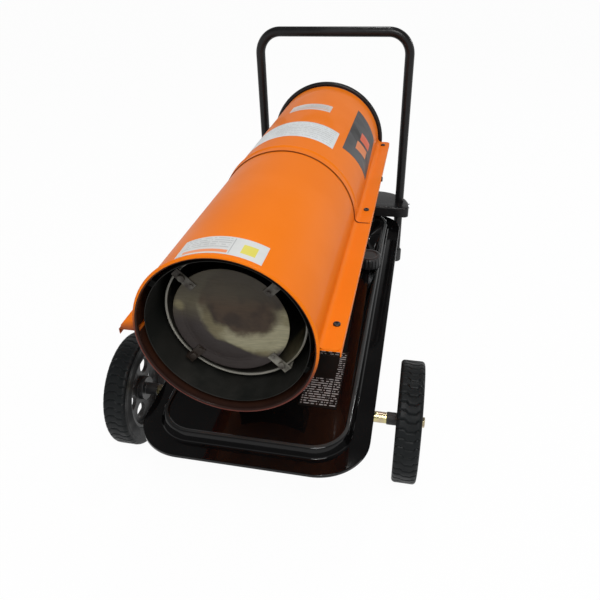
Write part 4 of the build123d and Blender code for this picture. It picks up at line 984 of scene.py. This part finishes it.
# Heat shield, chamber, disc and clips in the mouth
mouth = {
    "shieldRadius": 110.5, "shieldSheet": 1.0, "shieldFront": 9.5, "shieldRear": 395.0,
    "tabSize": (12.0, 14.0), "tabInset": 20.0, "tabAngles": (30, 90, 150, 210, 270, 330),
    "chamberRadius": 98.5, "chamberSheet": 1.2, "chamberFront": 52.0, "chamberRear": 400.0,
    "bead": 1.7, "airHole": 6.0, "airPitch": 70.0, "airHoles": 12, "burner": 38.3,
    "lugSize": (12.0, 16.0), "lugBacks": (110.0, 340.0), "lugAngles": (45, 135, 225, 315),
    "discRadius": 80.5, "discBack": 42.0, "discSheet": 1.2, "discShift": 4.0,
    "domeRadius": 64.0, "domeHeight": 8.0, "clearance": 0.3,
}


def curvedBlocks(angles, size, inner, outer, fronts):
    # small pads bent round the shell's axis, of the given width and length
    width, length = size
    turn = np.degrees(width / 2 / outer)
    blocks = []
    for front in fronts:
        for angle in angles:
            low, high, rear = -angle - turn, -angle + turn, front + length
            four = [(low, front), (high, front), (high, rear), (low, rear)]
            blocks.append(shellPatch(four, inner, 0, outer - inner, (6, 2))[0])
    return blocks


def heatShield():
    radius, sheet = mouth["shieldRadius"], mouth["shieldSheet"]
    front, rear = mouth["shieldFront"], mouth["shieldRear"]
    lip = arc((front + sheet / 2, radius - sheet / 2), sheet / 2, -90, -270, 8)
    stations = np.linspace(front + 4, rear - 4, 22)
    ends = [[rear, radius], [rear, radius - sheet]]
    inner, outer = stacked(stations[::-1], radius - sheet), stacked(stations, radius)
    wall = turned(np.concatenate([inner, lip, outer, ends]), 216)
    backs = (front + mouth["tabInset"], rear - mouth["tabInset"] - mouth["tabSize"][1])
    end = shell["radius"] - shell["sheet"] - mouth["clearance"]
    tabs = curvedBlocks(mouth["tabAngles"], mouth["tabSize"], radius - sheet / 2, end, backs)
    newPiece("heatShield", joined(wall, *tabs), "heat_shield")


def combustionChamber():
    radius, sheet = mouth["chamberRadius"], mouth["chamberSheet"]
    front, rear = mouth["chamberFront"], mouth["chamberRear"]
    middle = radius - sheet / 2
    bead = arc((front, middle), mouth["bead"], -20, -340, 18)
    stations = np.array([70, 180, 300])
    back = [[rear, radius], [rear, radius - sheet], [rear - sheet, radius - sheet]]
    inner, outer = stacked(stations[::-1], radius - sheet), stacked(stations, radius)
    wall = turned(np.concatenate([back, inner, bead, outer]), 216)
    holes = [((0.0, 0.0), mouth["burner"], 64)]
    for turn in wholeTurn(mouth["airHoles"]):
        centre = (mouth["airPitch"] * np.cos(turn), mouth["airPitch"] * np.sin(turn))
        holes.append((centre, mouth["airHole"], 24))

    def lay(flat, y):
        return stacked(flat[:, 0], y, flat[:, 1] + axisHeight)

    around = wholeTurn(96)
    outline = stacked(middle * np.cos(around), middle * np.sin(around))
    end = mouth["shieldRadius"] - mouth["shieldSheet"] - mouth["clearance"]
    lugs = curvedBlocks(mouth["lugAngles"], mouth["lugSize"], middle, end, mouth["lugBacks"])
    part = joined(wall, flatPlate(outline, holes, rear - sheet, rear, lay), *lugs)
    newPiece("combustionChamber", part, "combustion_chamber", "chamber_steel", sharp=roundSharpAngle)


hotDisc = {
    "olive": (0.085, 0.073, 0.046), "brown": (0.020, 0.011, 0.007), "umber": (0.046, 0.028, 0.016),
    "violet": (0.032, 0.025, 0.024), "straw": (0.19, 0.165, 0.09), "pale": (0.30, 0.28, 0.18),
    "top": (0.045, 0.038, 0.026), "dull": (0.03, 0.026, 0.02), "rough": (0.36, 0.55),
    "hook": (0.022, 0.024), "hookRadius": 0.058, "hookHalf": 0.015, "hookTop": (0.012, 0.035),
    "hookEdge": 0.010, "leftPatch": (-0.070, 0.020), "patchReach": (0.006, 0.014), "drift": 0.030,
    "topFrom": (0.022, 0.052), "oliveFrom": (-0.01, 0.03),
}


def discFinish(tree):
    # steel that has been hot: olive grey above, brown in the middle, a straw hook round it from the
    # left to the lower right, and dull violet grey beyond
    look = hotDisc
    x, _, z = objectSpot(tree).split()
    across, height = x + mouth["discShift"] / 1000, z - axisHeight / 1000
    drift = (patchy(tree, 15.0, 6.0, 0.2, 0.8) - 0.5) * look["drift"]

    def reachFrom(point):
        return (across - point[0]).beside(height - point[1]).distance()

    reach = reachFrom(look["hook"]) + drift
    wide = across.spread(0.0, 0.045, look["hookHalf"], 1.7 * look["hookHalf"])
    onHook = (abs(reach - look["hookRadius"]) / wide).spread(0.35, 1.0, 1.0, 0.0)
    onHook = onHook * (height + drift).spread(*look["hookTop"], 1.0, 0.0)
    fall = across - height  # grows towards the lower right
    brushed = patchy(tree, 60.0, 7.0, 0.25, 0.75, (1.0, 1.0, 9.0))
    patches = patchy(tree, 26.0, 3.0, 0.4, 0.6)
    outside = reach.spread(look["hookRadius"], look["hookRadius"] + look["hookEdge"])
    beyond = height.spread(*look["oliveFrom"]).blend(look["violet"], look["olive"])
    base = outside.blend(patches.blend(look["brown"], look["umber"]), beyond)
    base = (height.spread(*look["topFrom"]) * 0.8).blend(base, look["top"])
    straw = patches.blend(look["straw"], look["pale"])
    base = (onHook * fall.spread(-0.06, 0.07, 0.55, 1.0)).blend(base, straw)
    patch = (reachFrom(look["leftPatch"]) + drift * 0.4).spread(*look["patchReach"], 0.8, 0.0)
    base = patch.blend(base, look["straw"])
    return {
        "Base Color": (brushed * 0.25).blend(base, look["dull"]),
        "Roughness": brushed.between(*look["rough"]), "Specular IOR Level": 0.22,
        "Normal": grainBump(tree, 420.0, 0.35, 0.0003, (1.0, 1.0, 16.0)),
    }


def clipFinish(tree):
    # hot sheet metal: grey above, dark brown below on the left and still bright below on the right
    grey, brown, bright = (0.085, 0.080, 0.066), (0.020, 0.013, 0.009), (0.26, 0.25, 0.21)
    x, _, z = objectSpot(tree).split()
    patches = patchy(tree, 70.0, 3.0, 0.30, 0.70)
    low = z.spread(axisHeight / 1000 - 0.01, axisHeight / 1000, 1.0, 0.0)
    lower = (patches * x.spread(-0.005, 0.005)).blend(brown, bright)
    return {
        "Base Color": low.blend(patches.blend(grey, brown), lower),
        "Roughness": patches.between(0.34, 0.55), "Metallic": 0.2, "Specular IOR Level": 0.4,
    }


def deflectorDisc():
    radius, sheet, back = mouth["discRadius"], mouth["discSheet"], mouth["discBack"]
    height, dome = mouth["domeHeight"], mouth["domeRadius"]
    ball = (dome**2 + height**2) / (2 * height)
    steps = ((0, dome - 3, 24), (dome - 2.2, dome + 2.2, 7), (dome + 3, radius - 0.6, 6))
    r = np.concatenate([np.linspace(*step) for step in steps])
    crown = back - height + ball - np.sqrt(ball**2 - np.minimum(r, dome) ** 2)
    ease = 0.35 * np.exp(-(((r - dome) / 1.6) ** 2))  # softens the crease where the dome meets the rim
    rim = arc((back + sheet / 2, radius - sheet / 2), sheet / 2, 180, 0, 8)
    profile = np.concatenate([stacked(crown - ease, r), rim, stacked(crown + sheet, r)[::-1]])

    def ripple(distance, angle):
        # the sheet has moved a little with the heat
        share = smooth(distance / radius)
        return 0.10 * share * np.sin(3 * angle + 0.6) + 0.05 * share * np.sin(7 * angle + 1.9)

    disc = turned(profile, 180, False, (-mouth["discShift"], axisHeight), ripple)
    newPiece("deflectorDisc", disc, "deflector_disc")


finishes["tempered_steel"] = newFinish("tempered_steel", discFinish)
finishes["sootedClips"] = newFinish("sootedClips", clipFinish)
heatShield()
combustionChamber()
deflectorDisc()
print("mouth made")


# The upper half of the tank
tank = {
    "halfWidth": 187.0, "front": 5.5, "rear": 915.0, "corner": 82.0, "cornerShare": 0.7, "sheet": 1.5,
    "seam": 128.5, "hem": 4.0, "flange": 29.0, "ridgeInset": 33.0, "ridgeHeight": 149.0,
    "ridgeWidth": 7.0, "panel": 145.0, "panelStep": 2.0, "underStep": 4.5, "cornerSteps": 26,
    "rounds": [0.5, 0.5, 1.4, 3.0, 4.6, 2.2, 1.7], "roundSteps": 7,
    "holes": [(130, 600, 14.5), (0, 500, 8.3), (-118, 560, 12.0), (90, 842.5, 3.1), (-90, 842.5, 3.1)],
}


def tankLoop(inset):
    # the tank's rounded outline, moved in by inset: one quarter circle at each corner
    radius = tank["corner"] - tank["cornerShare"] * inset
    sideways = tank["halfWidth"] - inset - radius
    front, rear = tank["front"] + inset + radius, tank["rear"] - inset - radius
    quarters = [(sideways, rear, 0), (-sideways, rear, 90), (-sideways, front, 180), (sideways, front, 270)]
    return np.concatenate(
        [arc((x, y), radius, start, start + 90, tank["cornerSteps"]) for x, y, start in quarters]
    )


def tankUpper():
    sheet, low, hem, ridge, panel = (tank[key] for key in ("sheet", "seam", "hem", "ridgeHeight", "panel"))
    high, edge, shoulder = low + sheet, tank["flange"], tank["ridgeInset"]
    inner = shoulder + tank["ridgeWidth"]
    flatInset = inner + tank["panelStep"]
    line = [
        (sheet, low), (sheet, low - hem), (0, low - hem), (0, high), (edge, high), (shoulder, ridge),
        (inner, ridge), (inner, panel), (flatInset, panel),
    ]
    skin = softened(line, tank["rounds"], tank["roundSteps"])
    ceiling, side = panel - sheet, edge + sheet
    under = [(flatInset, ceiling), (side + tank["underStep"], ceiling), (side, low), (side / 2, low)]
    profile = np.concatenate([under, skin])  # from the ceiling's rim out, and up to the panel's
    loops = np.stack([tankLoop(inset) for inset, _ in profile])
    rows = stacked(loops[..., 0], loops[..., 1], profile[:, 1:])

    def lay(flat, z):
        return stacked(flat[:, 0], flat[:, 1], z)

    holes = [((x, y), radius, 40) for x, y, radius in tank["holes"]]
    middle = flatPlate(tankLoop(flatInset), holes, ceiling, panel, lay)
    newPiece("tankUpper", joined(wrapped(rows), middle), "tank_upper_half", sharp=40)


tankUpper()
print("tank made")

# Handle and rear guard
handle = {"radius": 11.0, "out": 179.0, "back": 901.0, "barHeight": 592.0, "bend": 50.0, "low": 7.0}
guard = {
    "back": 817.6, "ring": 125.6, "ringWire": 5.3, "wire": 1.5, "hub": 20.0, "hubHalf": 1.5,
    "pitch": 21.4, "rings": 4, "spokes": 8, "spokeLap": 1.6,
}


def handleTube():
    out, back, low, top = handle["out"], handle["back"], handle["low"], handle["barHeight"]
    points = [(-out, back, low), (-out, back, top), (out, back, top), (out, back, low)]
    newPiece("handle", tube(bentPath(points, handle["bend"], 22), handle["radius"], 40), "handle")


def guardRing(radius, wire, count, around):
    a = wholeTurn(around)
    return turned(stacked(guard["back"] + wire * np.sin(a), radius + wire * np.cos(a)), count)


def fanGuard():
    back, wire, size, half = guard["back"], guard["wire"], guard["hub"], guard["hubHalf"]
    parts = [guardRing(guard["ring"], guard["ringWire"], 192, 20)]
    parts += [guardRing(size + guard["pitch"] * (i + 1), wire, 128, 12) for i in range(guard["rings"])]
    middle = np.array([0, back + guard["spokeLap"], axisHeight])
    for turn in wholeTurn(guard["spokes"]):
        way = np.array([np.cos(turn), 0, np.sin(turn)])
        start, end = middle + way * (size - 2), middle + way * guard["ring"]
        parts.append(tube([start, (start + end) / 2, end], wire, 12))
    hub = softened([(back + half, 0), (back + half, size), (back - half, size), (back - half, 0)], [0.8, 0.8])
    newPiece("fanGuard", joined(*parts, turned(hub, 64, False)), "fan_guard")


handleTube()
fanGuard()
print("handle and guard made")


# Tyres
wheel = {
    "radius": 101.5, "width": 39.5, "inner": 223.0, "axleBack": 169.5, "rim": 72.0, "round": 6.0,
    "grooves": 45, "columnsEach": 12, "grooveWidth": 1.5, "grooveDepth": 1.5, "step": 5.0,
    "dip": 0.9, "band": 0.5, "bandRadius": 90, "treadFrom": 0.0965, "treadTo": 0.1005,
}


def tyreFinish(tree):
    # dark rubber, greyer on the worn tread, with dirt in the grooves
    rubber, worn, dirt = (0.0032, 0.0038, 0.0042), (0.0052, 0.0066, 0.0072), (0.017, 0.017, 0.016)
    _, y, z = objectSpot(tree).split()
    back = y + (heater["length"] / 2 - wheel["axleBack"]) / 1000
    reach = back.beside(z - wheel["radius"] / 1000).distance()
    patches = patchy(tree, 24.0, 6.0, 0.3, 0.7)
    base = reach.spread(wheel["treadFrom"], wheel["treadTo"]).blend(rubber, worn)
    base = (patches * 0.35).blend(base, rubber)
    dust = useEffect(tree, settledDust, Amount=0.16, Scale=40.0)["Mask"]
    rough = patches.between(0.36, 0.60).maths("ADD", dust * 0.4, clamp=True)
    return {
        "Base Color": dust.blend(base, dirt), "Roughness": rough, "Specular IOR Level": 0.16,
        "Normal": grainBump(tree, 900.0, 0.22, 0.0005),
    }


def tyre(side):
    radius, inner, width = wheel["radius"], wheel["inner"], wheel["width"]
    rim, ease = wheel["rim"], wheel["round"]
    # across the tyre: up the inner wall, over the tread, down the outer wall, then the bore
    wall = np.linspace(rim + 1.0, radius - ease, 14)
    flex = wheel["dip"] * np.sin(np.pi * (wall - rim) / (radius - ease - rim))  # the walls dip a little
    flex = np.maximum(flex - wheel["band"] * np.exp(-(((wall - wheel["bandRadius"]) / 1.1) ** 2)), 0)
    outer = inner + width
    tread = stacked(np.linspace(inner + ease, outer - ease, 26)[1:-1], radius)
    bore = np.array([(outer - 0.6, rim), (inner + width / 2, rim), (inner + 0.6, rim)])
    profile = np.concatenate(
        [
            stacked(inner + flex, wall), arc((inner + ease, radius - ease), ease, 180, 90, 8), tread,
            arc((outer - ease, radius - ease), ease, 90, 0, 8), stacked(outer - flex, wall)[::-1], bore,
        ]
    )
    angle = wholeTurn(wheel["grooves"] * wheel["columnsEach"])
    x, r = profile.T[..., None]
    # zigzag grooves: the place round the tyre steps over by a few millimetres across the tread
    pitch = 2 * np.pi * radius / wheel["grooves"]
    share = (x - inner) / width
    step = wheel["step"] * (smooth((share - 0.30) / 0.16) - 0.5 - smooth((share - 0.72) / 0.12))
    turns = angle[None] * radius / pitch - side * step / pitch
    off = np.abs(turns - np.round(turns)) * pitch
    groove = smooth(1.25 - off / wheel["grooveWidth"])
    near = smooth((r - (radius - 4.5)) / 2.5)
    r = r - wheel["grooveDepth"] * groove * near
    return wrapped(stacked(side * x, wheel["axleBack"] + r * np.cos(angle), radius + r * np.sin(angle)), True)


finishes["tyre_rubber"] = newFinish("tyre_rubber", tyreFinish)
newPiece("rightTyre", tyre(1), "right_tyre", sharp=roundSharpAngle)
newPiece("leftTyre", tyre(-1), "left_tyre", sharp=roundSharpAngle)
print("tyres made")


# Fuel cap
cap = {
    "out": 130.0, "back": 600.0, "radius": 28.0, "bottom": 150.5, "top": 176.0, "bore": 17.2,
    "ceiling": 161.1, "flutes": 20, "fluteSteps": 14, "fluteDepth": 1.73, "fluteHalf": 2.5,
    "longestRun": 4, "rounds": [0, 0.5, 0.8, 2.0, 1.6, 1.0, 0.6, 0.8], "roundSteps": 4,
}


def fuelCap():
    radius, bottom, top, bore, ceiling = (cap[k] for k in ("radius", "bottom", "top", "bore", "ceiling"))
    line = [
        (0, ceiling), (bore, ceiling), (bore, bottom), (radius, bottom), (radius, top - 4),
        (radius - 3.2, top - 0.4), (radius - 6, top), (radius - 9, top), (radius - 10.5, top - 1.2),
        (0, top - 1.2),
    ]
    profile = softened(line, cap["rounds"], cap["roundSteps"])
    rows = [profile[0:1]]
    for a, b in zip(profile[:-1], profile[1:]):  # long runs are divided, so that the ribs stay true
        steps = max(1, int(np.ceil(np.linalg.norm(b - a) / cap["longestRun"])))
        rows.append(a + (b - a) * np.linspace(0, 1, steps + 1)[1:, None])
    angle = wholeTurn(cap["flutes"] * cap["fluteSteps"])
    r, z = np.concatenate(rows).T[..., None]
    turns = angle * cap["flutes"] / (2 * np.pi)
    off = np.abs(turns - np.round(turns)) * 2 * np.pi * radius / cap["flutes"]
    flute = np.clip(1 - (off / cap["fluteHalf"]) ** 2, 0, 1)
    r = r - cap["fluteDepth"] * flute * smooth((r - (radius - 3.4)) / 2.6)
    grid = stacked(cap["out"] + r * np.cos(angle), cap["back"] + r * np.sin(angle), z)
    newPiece("fuelCap", wrapped(grid), "fuel_cap", sharp=roundSharpAngle)


fuelCap()
print("cap made")

# Every other CAD piece, merged, finished and, unless it is 0 here, with its edges eased
easedEdge = 0.25
otherEdges = {
    "case_screws": 0.0, "deflector_clips": 0.35, "tank_lower_half": 0.0, "rear_bracket": 0.0,
    "control_panel": 0.4, "motor_housing": 0.0, "fan": 0.35, "left_wheel_hub": 0.8,
    "right_wheel_hub": 0.8, "axle_fittings": 0.4, "bracket_bolts": 0.5, "leg_feet": 0.0, "axle": 0.5,
    "fuel_line": 0.0, "air_line": 0.0, "ignition_lead": 0.0,
}
ownFinish = {"display_lens": "darkDisplay", "deflector_clips": "sootedClips"}
made = {name for piece in bpy.data.objects for name in piece.get("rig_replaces", [])}
for node in sorted(cadNodes):
    if node not in made and node != "rating_plate":
        dressed(node, otherEdges.get(node, easedEdge), ownFinish.get(node))
print("other pieces dressed")


# Printed sheets, dials and small marks
labels = {
    "wideLabel": {"corners": [(55.5, 446), (136, 446), (136, 534), (55.5, 534)], "on": "rear"},
    "smallLabel": {"corners": [(72.5, 619), (113, 619), (113, 661), (72.5, 661)], "on": "rear"},
    "frontLabel": {"corners": [(117, 12), (63.5, 12), (63.5, 55), (117, 55)], "on": "front"},
    "sideDecal": {"corners": [(48, 484), (48, 734), (13, 728), (6, 528)], "on": "rear"},
}
labelSheet = {"lift": 0.05, "sheet": 0.15}


def shellLabels():
    for name, label in labels.items():
        rear = label["on"] == "rear"
        radius = shell["radius"] + (shell["lapGap"] + shell["sheet"] if rear else 0)
        part, uv = shellPatch(label["corners"], radius, labelSheet["lift"], labelSheet["sheet"])
        addedMark(name, part, name, uv)


plate = {"left": 62.0, "right": 126.0, "front": 130.0, "rear": 280.0, "sheet": 0.5}


def ratingPlate():
    u, v = unitGrid(8, 12)
    x = plate["left"] + (plate["right"] - plate["left"]) * u
    y = plate["front"] + (plate["rear"] - plate["front"]) * v
    part = slab(stacked(x, y, tank["panel"] + plate["sheet"]), stacked(x, y, tank["panel"]))
    newPiece("ratingPlate", part, "rating_plate", uv=slabPrint(u, v))


dialPlate = {"hole": 1.6, "low": 0.02, "high": 0.12}


def dialSheet(name, centre, radius, facing):
    # a thin disc with a hole for the post; facing is "up" or "rear"
    r = np.linspace(dialPlate["hole"], radius, 10)[:, None]
    angle = np.linspace(0, 2 * np.pi, 65)[None]
    a, b = r * np.cos(angle), r * np.sin(angle)

    def at(lift):
        if facing == "up":
            return stacked(centre[0] + a, centre[1] + b, centre[2] + lift)
        return stacked(centre[0] - a, centre[1] + lift, centre[2] + b)

    part = slab(at(dialPlate["high"]), at(dialPlate["low"]))
    addedMark(name, part, "dialPrint", slabPrint(a / radius, b / radius))


knobScale = {
    "back": 672.0, "height": 196.0, "inner": 17.2, "outer": 20.0, "face": 90.0, "bars": 11,
    "barHalf": 0.45, "sheet": 0.12, "sweep": 135,
}


def thermostatMarks():
    # a scale of short bars round the knob, on the panel's face
    parts = []
    for turn in np.radians(np.linspace(-knobScale["sweep"], knobScale["sweep"], knobScale["bars"])):
        way = np.array([np.sin(turn), np.cos(turn)])
        across = np.array([way[1], -way[0]]) * knobScale["barHalf"]
        near, far = way * knobScale["inner"], way * knobScale["outer"]
        bar = np.array([[near - across, far - across], [near + across, far + across]])
        y, z = knobScale["back"] + bar[..., 0], knobScale["height"] + bar[..., 1]
        face = knobScale["face"]
        parts.append(slab(stacked(face + knobScale["sheet"], y, z), stacked(face, y, z)))
    addedMark("thermostatMarks", joined(*parts), "white_ceramic", slot="white_ceramic")


shellLabels()
ratingPlate()
dialSheet("pressureDial", (0, 773.0, 386.0), 13.3, "rear")
dialSheet("fuelDial", (-118, 560, 148.5), 14.2, "up")
thermostatMarks()
print("prints and marks made")


# Floor, light and camera
stage = {
    "reach": 40.0, "floorDrop": 0.0005, "floorColour": (0.86, 0.86, 0.86), "grime": (0.84, 0.84, 0.84),
    "floorGlow": 0.965, "worldLight": 0.42, "mirrored": 0.85, "sky": (0.30, 0.60), "skyHigh": 0.16,
}
white = (1.0, 1.0, 1.0)
lamps = {
    "keyLamp": {"at": (0.7, -1.7, 2.3), "to": (0, -0.3, 0.3), "size": (1.2, 1.0), "power": 33},
    "rearSpot": {"at": (0.05, 0.95, 2.2), "to": (0, -0.1, 0.4), "size": (0.12, 0.12), "power": 6},
    "frontStrip": {"at": (0.5, -2.4, 2.0), "to": (0.1, -0.4, 0.2), "size": (0.9, 0.03), "power": 5},
    "sideStrip": {"at": (1.9, 1.7, 1.3), "to": (0.1, -0.2, 0.15), "size": (0.05, 0.5), "power": 7},
    "topStrip": {"at": (0.25, -0.9, 2.4), "to": (0, -0.1, 0.4), "size": (0.05, 0.5), "power": 5},
}
view = {
    "at": (0.2225, -1.0225, 0.8075), "yaw": -0.221, "pitch": 0.584, "roll": -0.033, "lens": 34.31,
    "sensor": 36.0, "reach": 200.0,
}


def seenRays(tree):
    # the paths of light, and 1 for those that the camera sees straight or through glass
    path = addNode(tree, "LightPath")
    return path, path["Is Camera Ray"].maths("MAXIMUM", path["Is Transmission Ray"])


def floorFinish(tree):
    # white where it is seen, with the heater's shadow kept in part
    base = patchy(tree, 3.0, 3.0, 0.2, 0.8).blend(stage["floorColour"], stage["grime"])
    lit = addNode(tree, "BsdfDiffuse", {"Color": base})[0]
    glow = addNode(tree, "Emission", {"Color": white, "Strength": 1.0})[0]
    path, seen = seenRays(tree)
    seen = seen.maths("MAXIMUM", path["Is Glossy Ray"] * stage["mirrored"])
    return addNode(tree, "MixShader", {0: seen * stage["floorGlow"], 1: lit, 2: glow})[0]


def floorSheet():
    reach = stage["reach"]
    mesh = bpy.data.meshes.new("floor")
    spots = [(x * reach, y * reach, -stage["floorDrop"]) for x, y in ((-1, -1), (1, -1), (1, 1), (-1, 1))]
    mesh.from_pydata(spots, [], [(0, 1, 2, 3)])
    mesh.materials.append(newFinish("floorPaint", floorFinish))
    linked("floor", mesh)


def studioWorld():
    # white at the horizon and dimmer above where it is mirrored, and even as light
    world = bpy.data.worlds.new("studio")
    bpy.context.scene.world = world
    world.use_nodes = True
    tree = world.node_tree
    tree.nodes.clear()
    height = addNode(tree, "TexCoord")["Generated"].split()[2]
    path, seen = seenRays(tree)
    dim = height.spread(*stage["sky"], 1.0, stage["skyHigh"]) * stage["mirrored"]
    lit = {0: path["Is Glossy Ray"], 2: stage["worldLight"], 3: dim}
    lit = {0: seen, 2: addNode(tree, "Mix", lit, data_type="FLOAT")[0], 3: 1.0}
    strength = addNode(tree, "Mix", lit, data_type="FLOAT")[0]
    back = addNode(tree, "Background", {"Color": white, "Strength": strength})[0]
    addNode(tree, "OutputWorld", {"Surface": back})


def studioLamps():
    for name, lamp in lamps.items():
        light = bpy.data.lights.new(name, "AREA")
        light.shape = "RECTANGLE"
        light.size, light.size_y = lamp["size"]
        light.energy = lamp["power"]
        at, to = Vector(lamp["at"]), Vector(lamp["to"])
        turn = (to - at).to_track_quat("-Z", "Y").to_matrix().to_4x4()
        linked(name, light).matrix_world = Matrix.Translation(at) @ turn


def photoCamera():
    yaw, pitch, roll = view["yaw"], view["pitch"], view["roll"]
    ahead = np.array([np.sin(yaw) * np.cos(pitch), np.cos(yaw) * np.cos(pitch), -np.sin(pitch)])
    level = np.array([np.cos(yaw), -np.sin(yaw), 0])
    rise = np.cross(level, ahead)
    right = level * np.cos(roll) + rise * np.sin(roll)
    up = rise * np.cos(roll) - level * np.sin(roll)
    lens = bpy.data.cameras.new("photoCamera")
    lens.lens = view["lens"]
    lens.sensor_width = view["sensor"]
    lens.clip_end = view["reach"]
    camera = linked("photoCamera", lens)
    turn = Matrix(np.stack([right, up, -ahead], 1).tolist()).to_4x4()
    camera.matrix_world = Matrix.Translation(view["at"]) @ turn
    bpy.context.scene.camera = camera


floorSheet()
studioWorld()
studioLamps()
photoCamera()
bpy.context.scene.view_settings.view_transform = "Standard"
print("stage made")
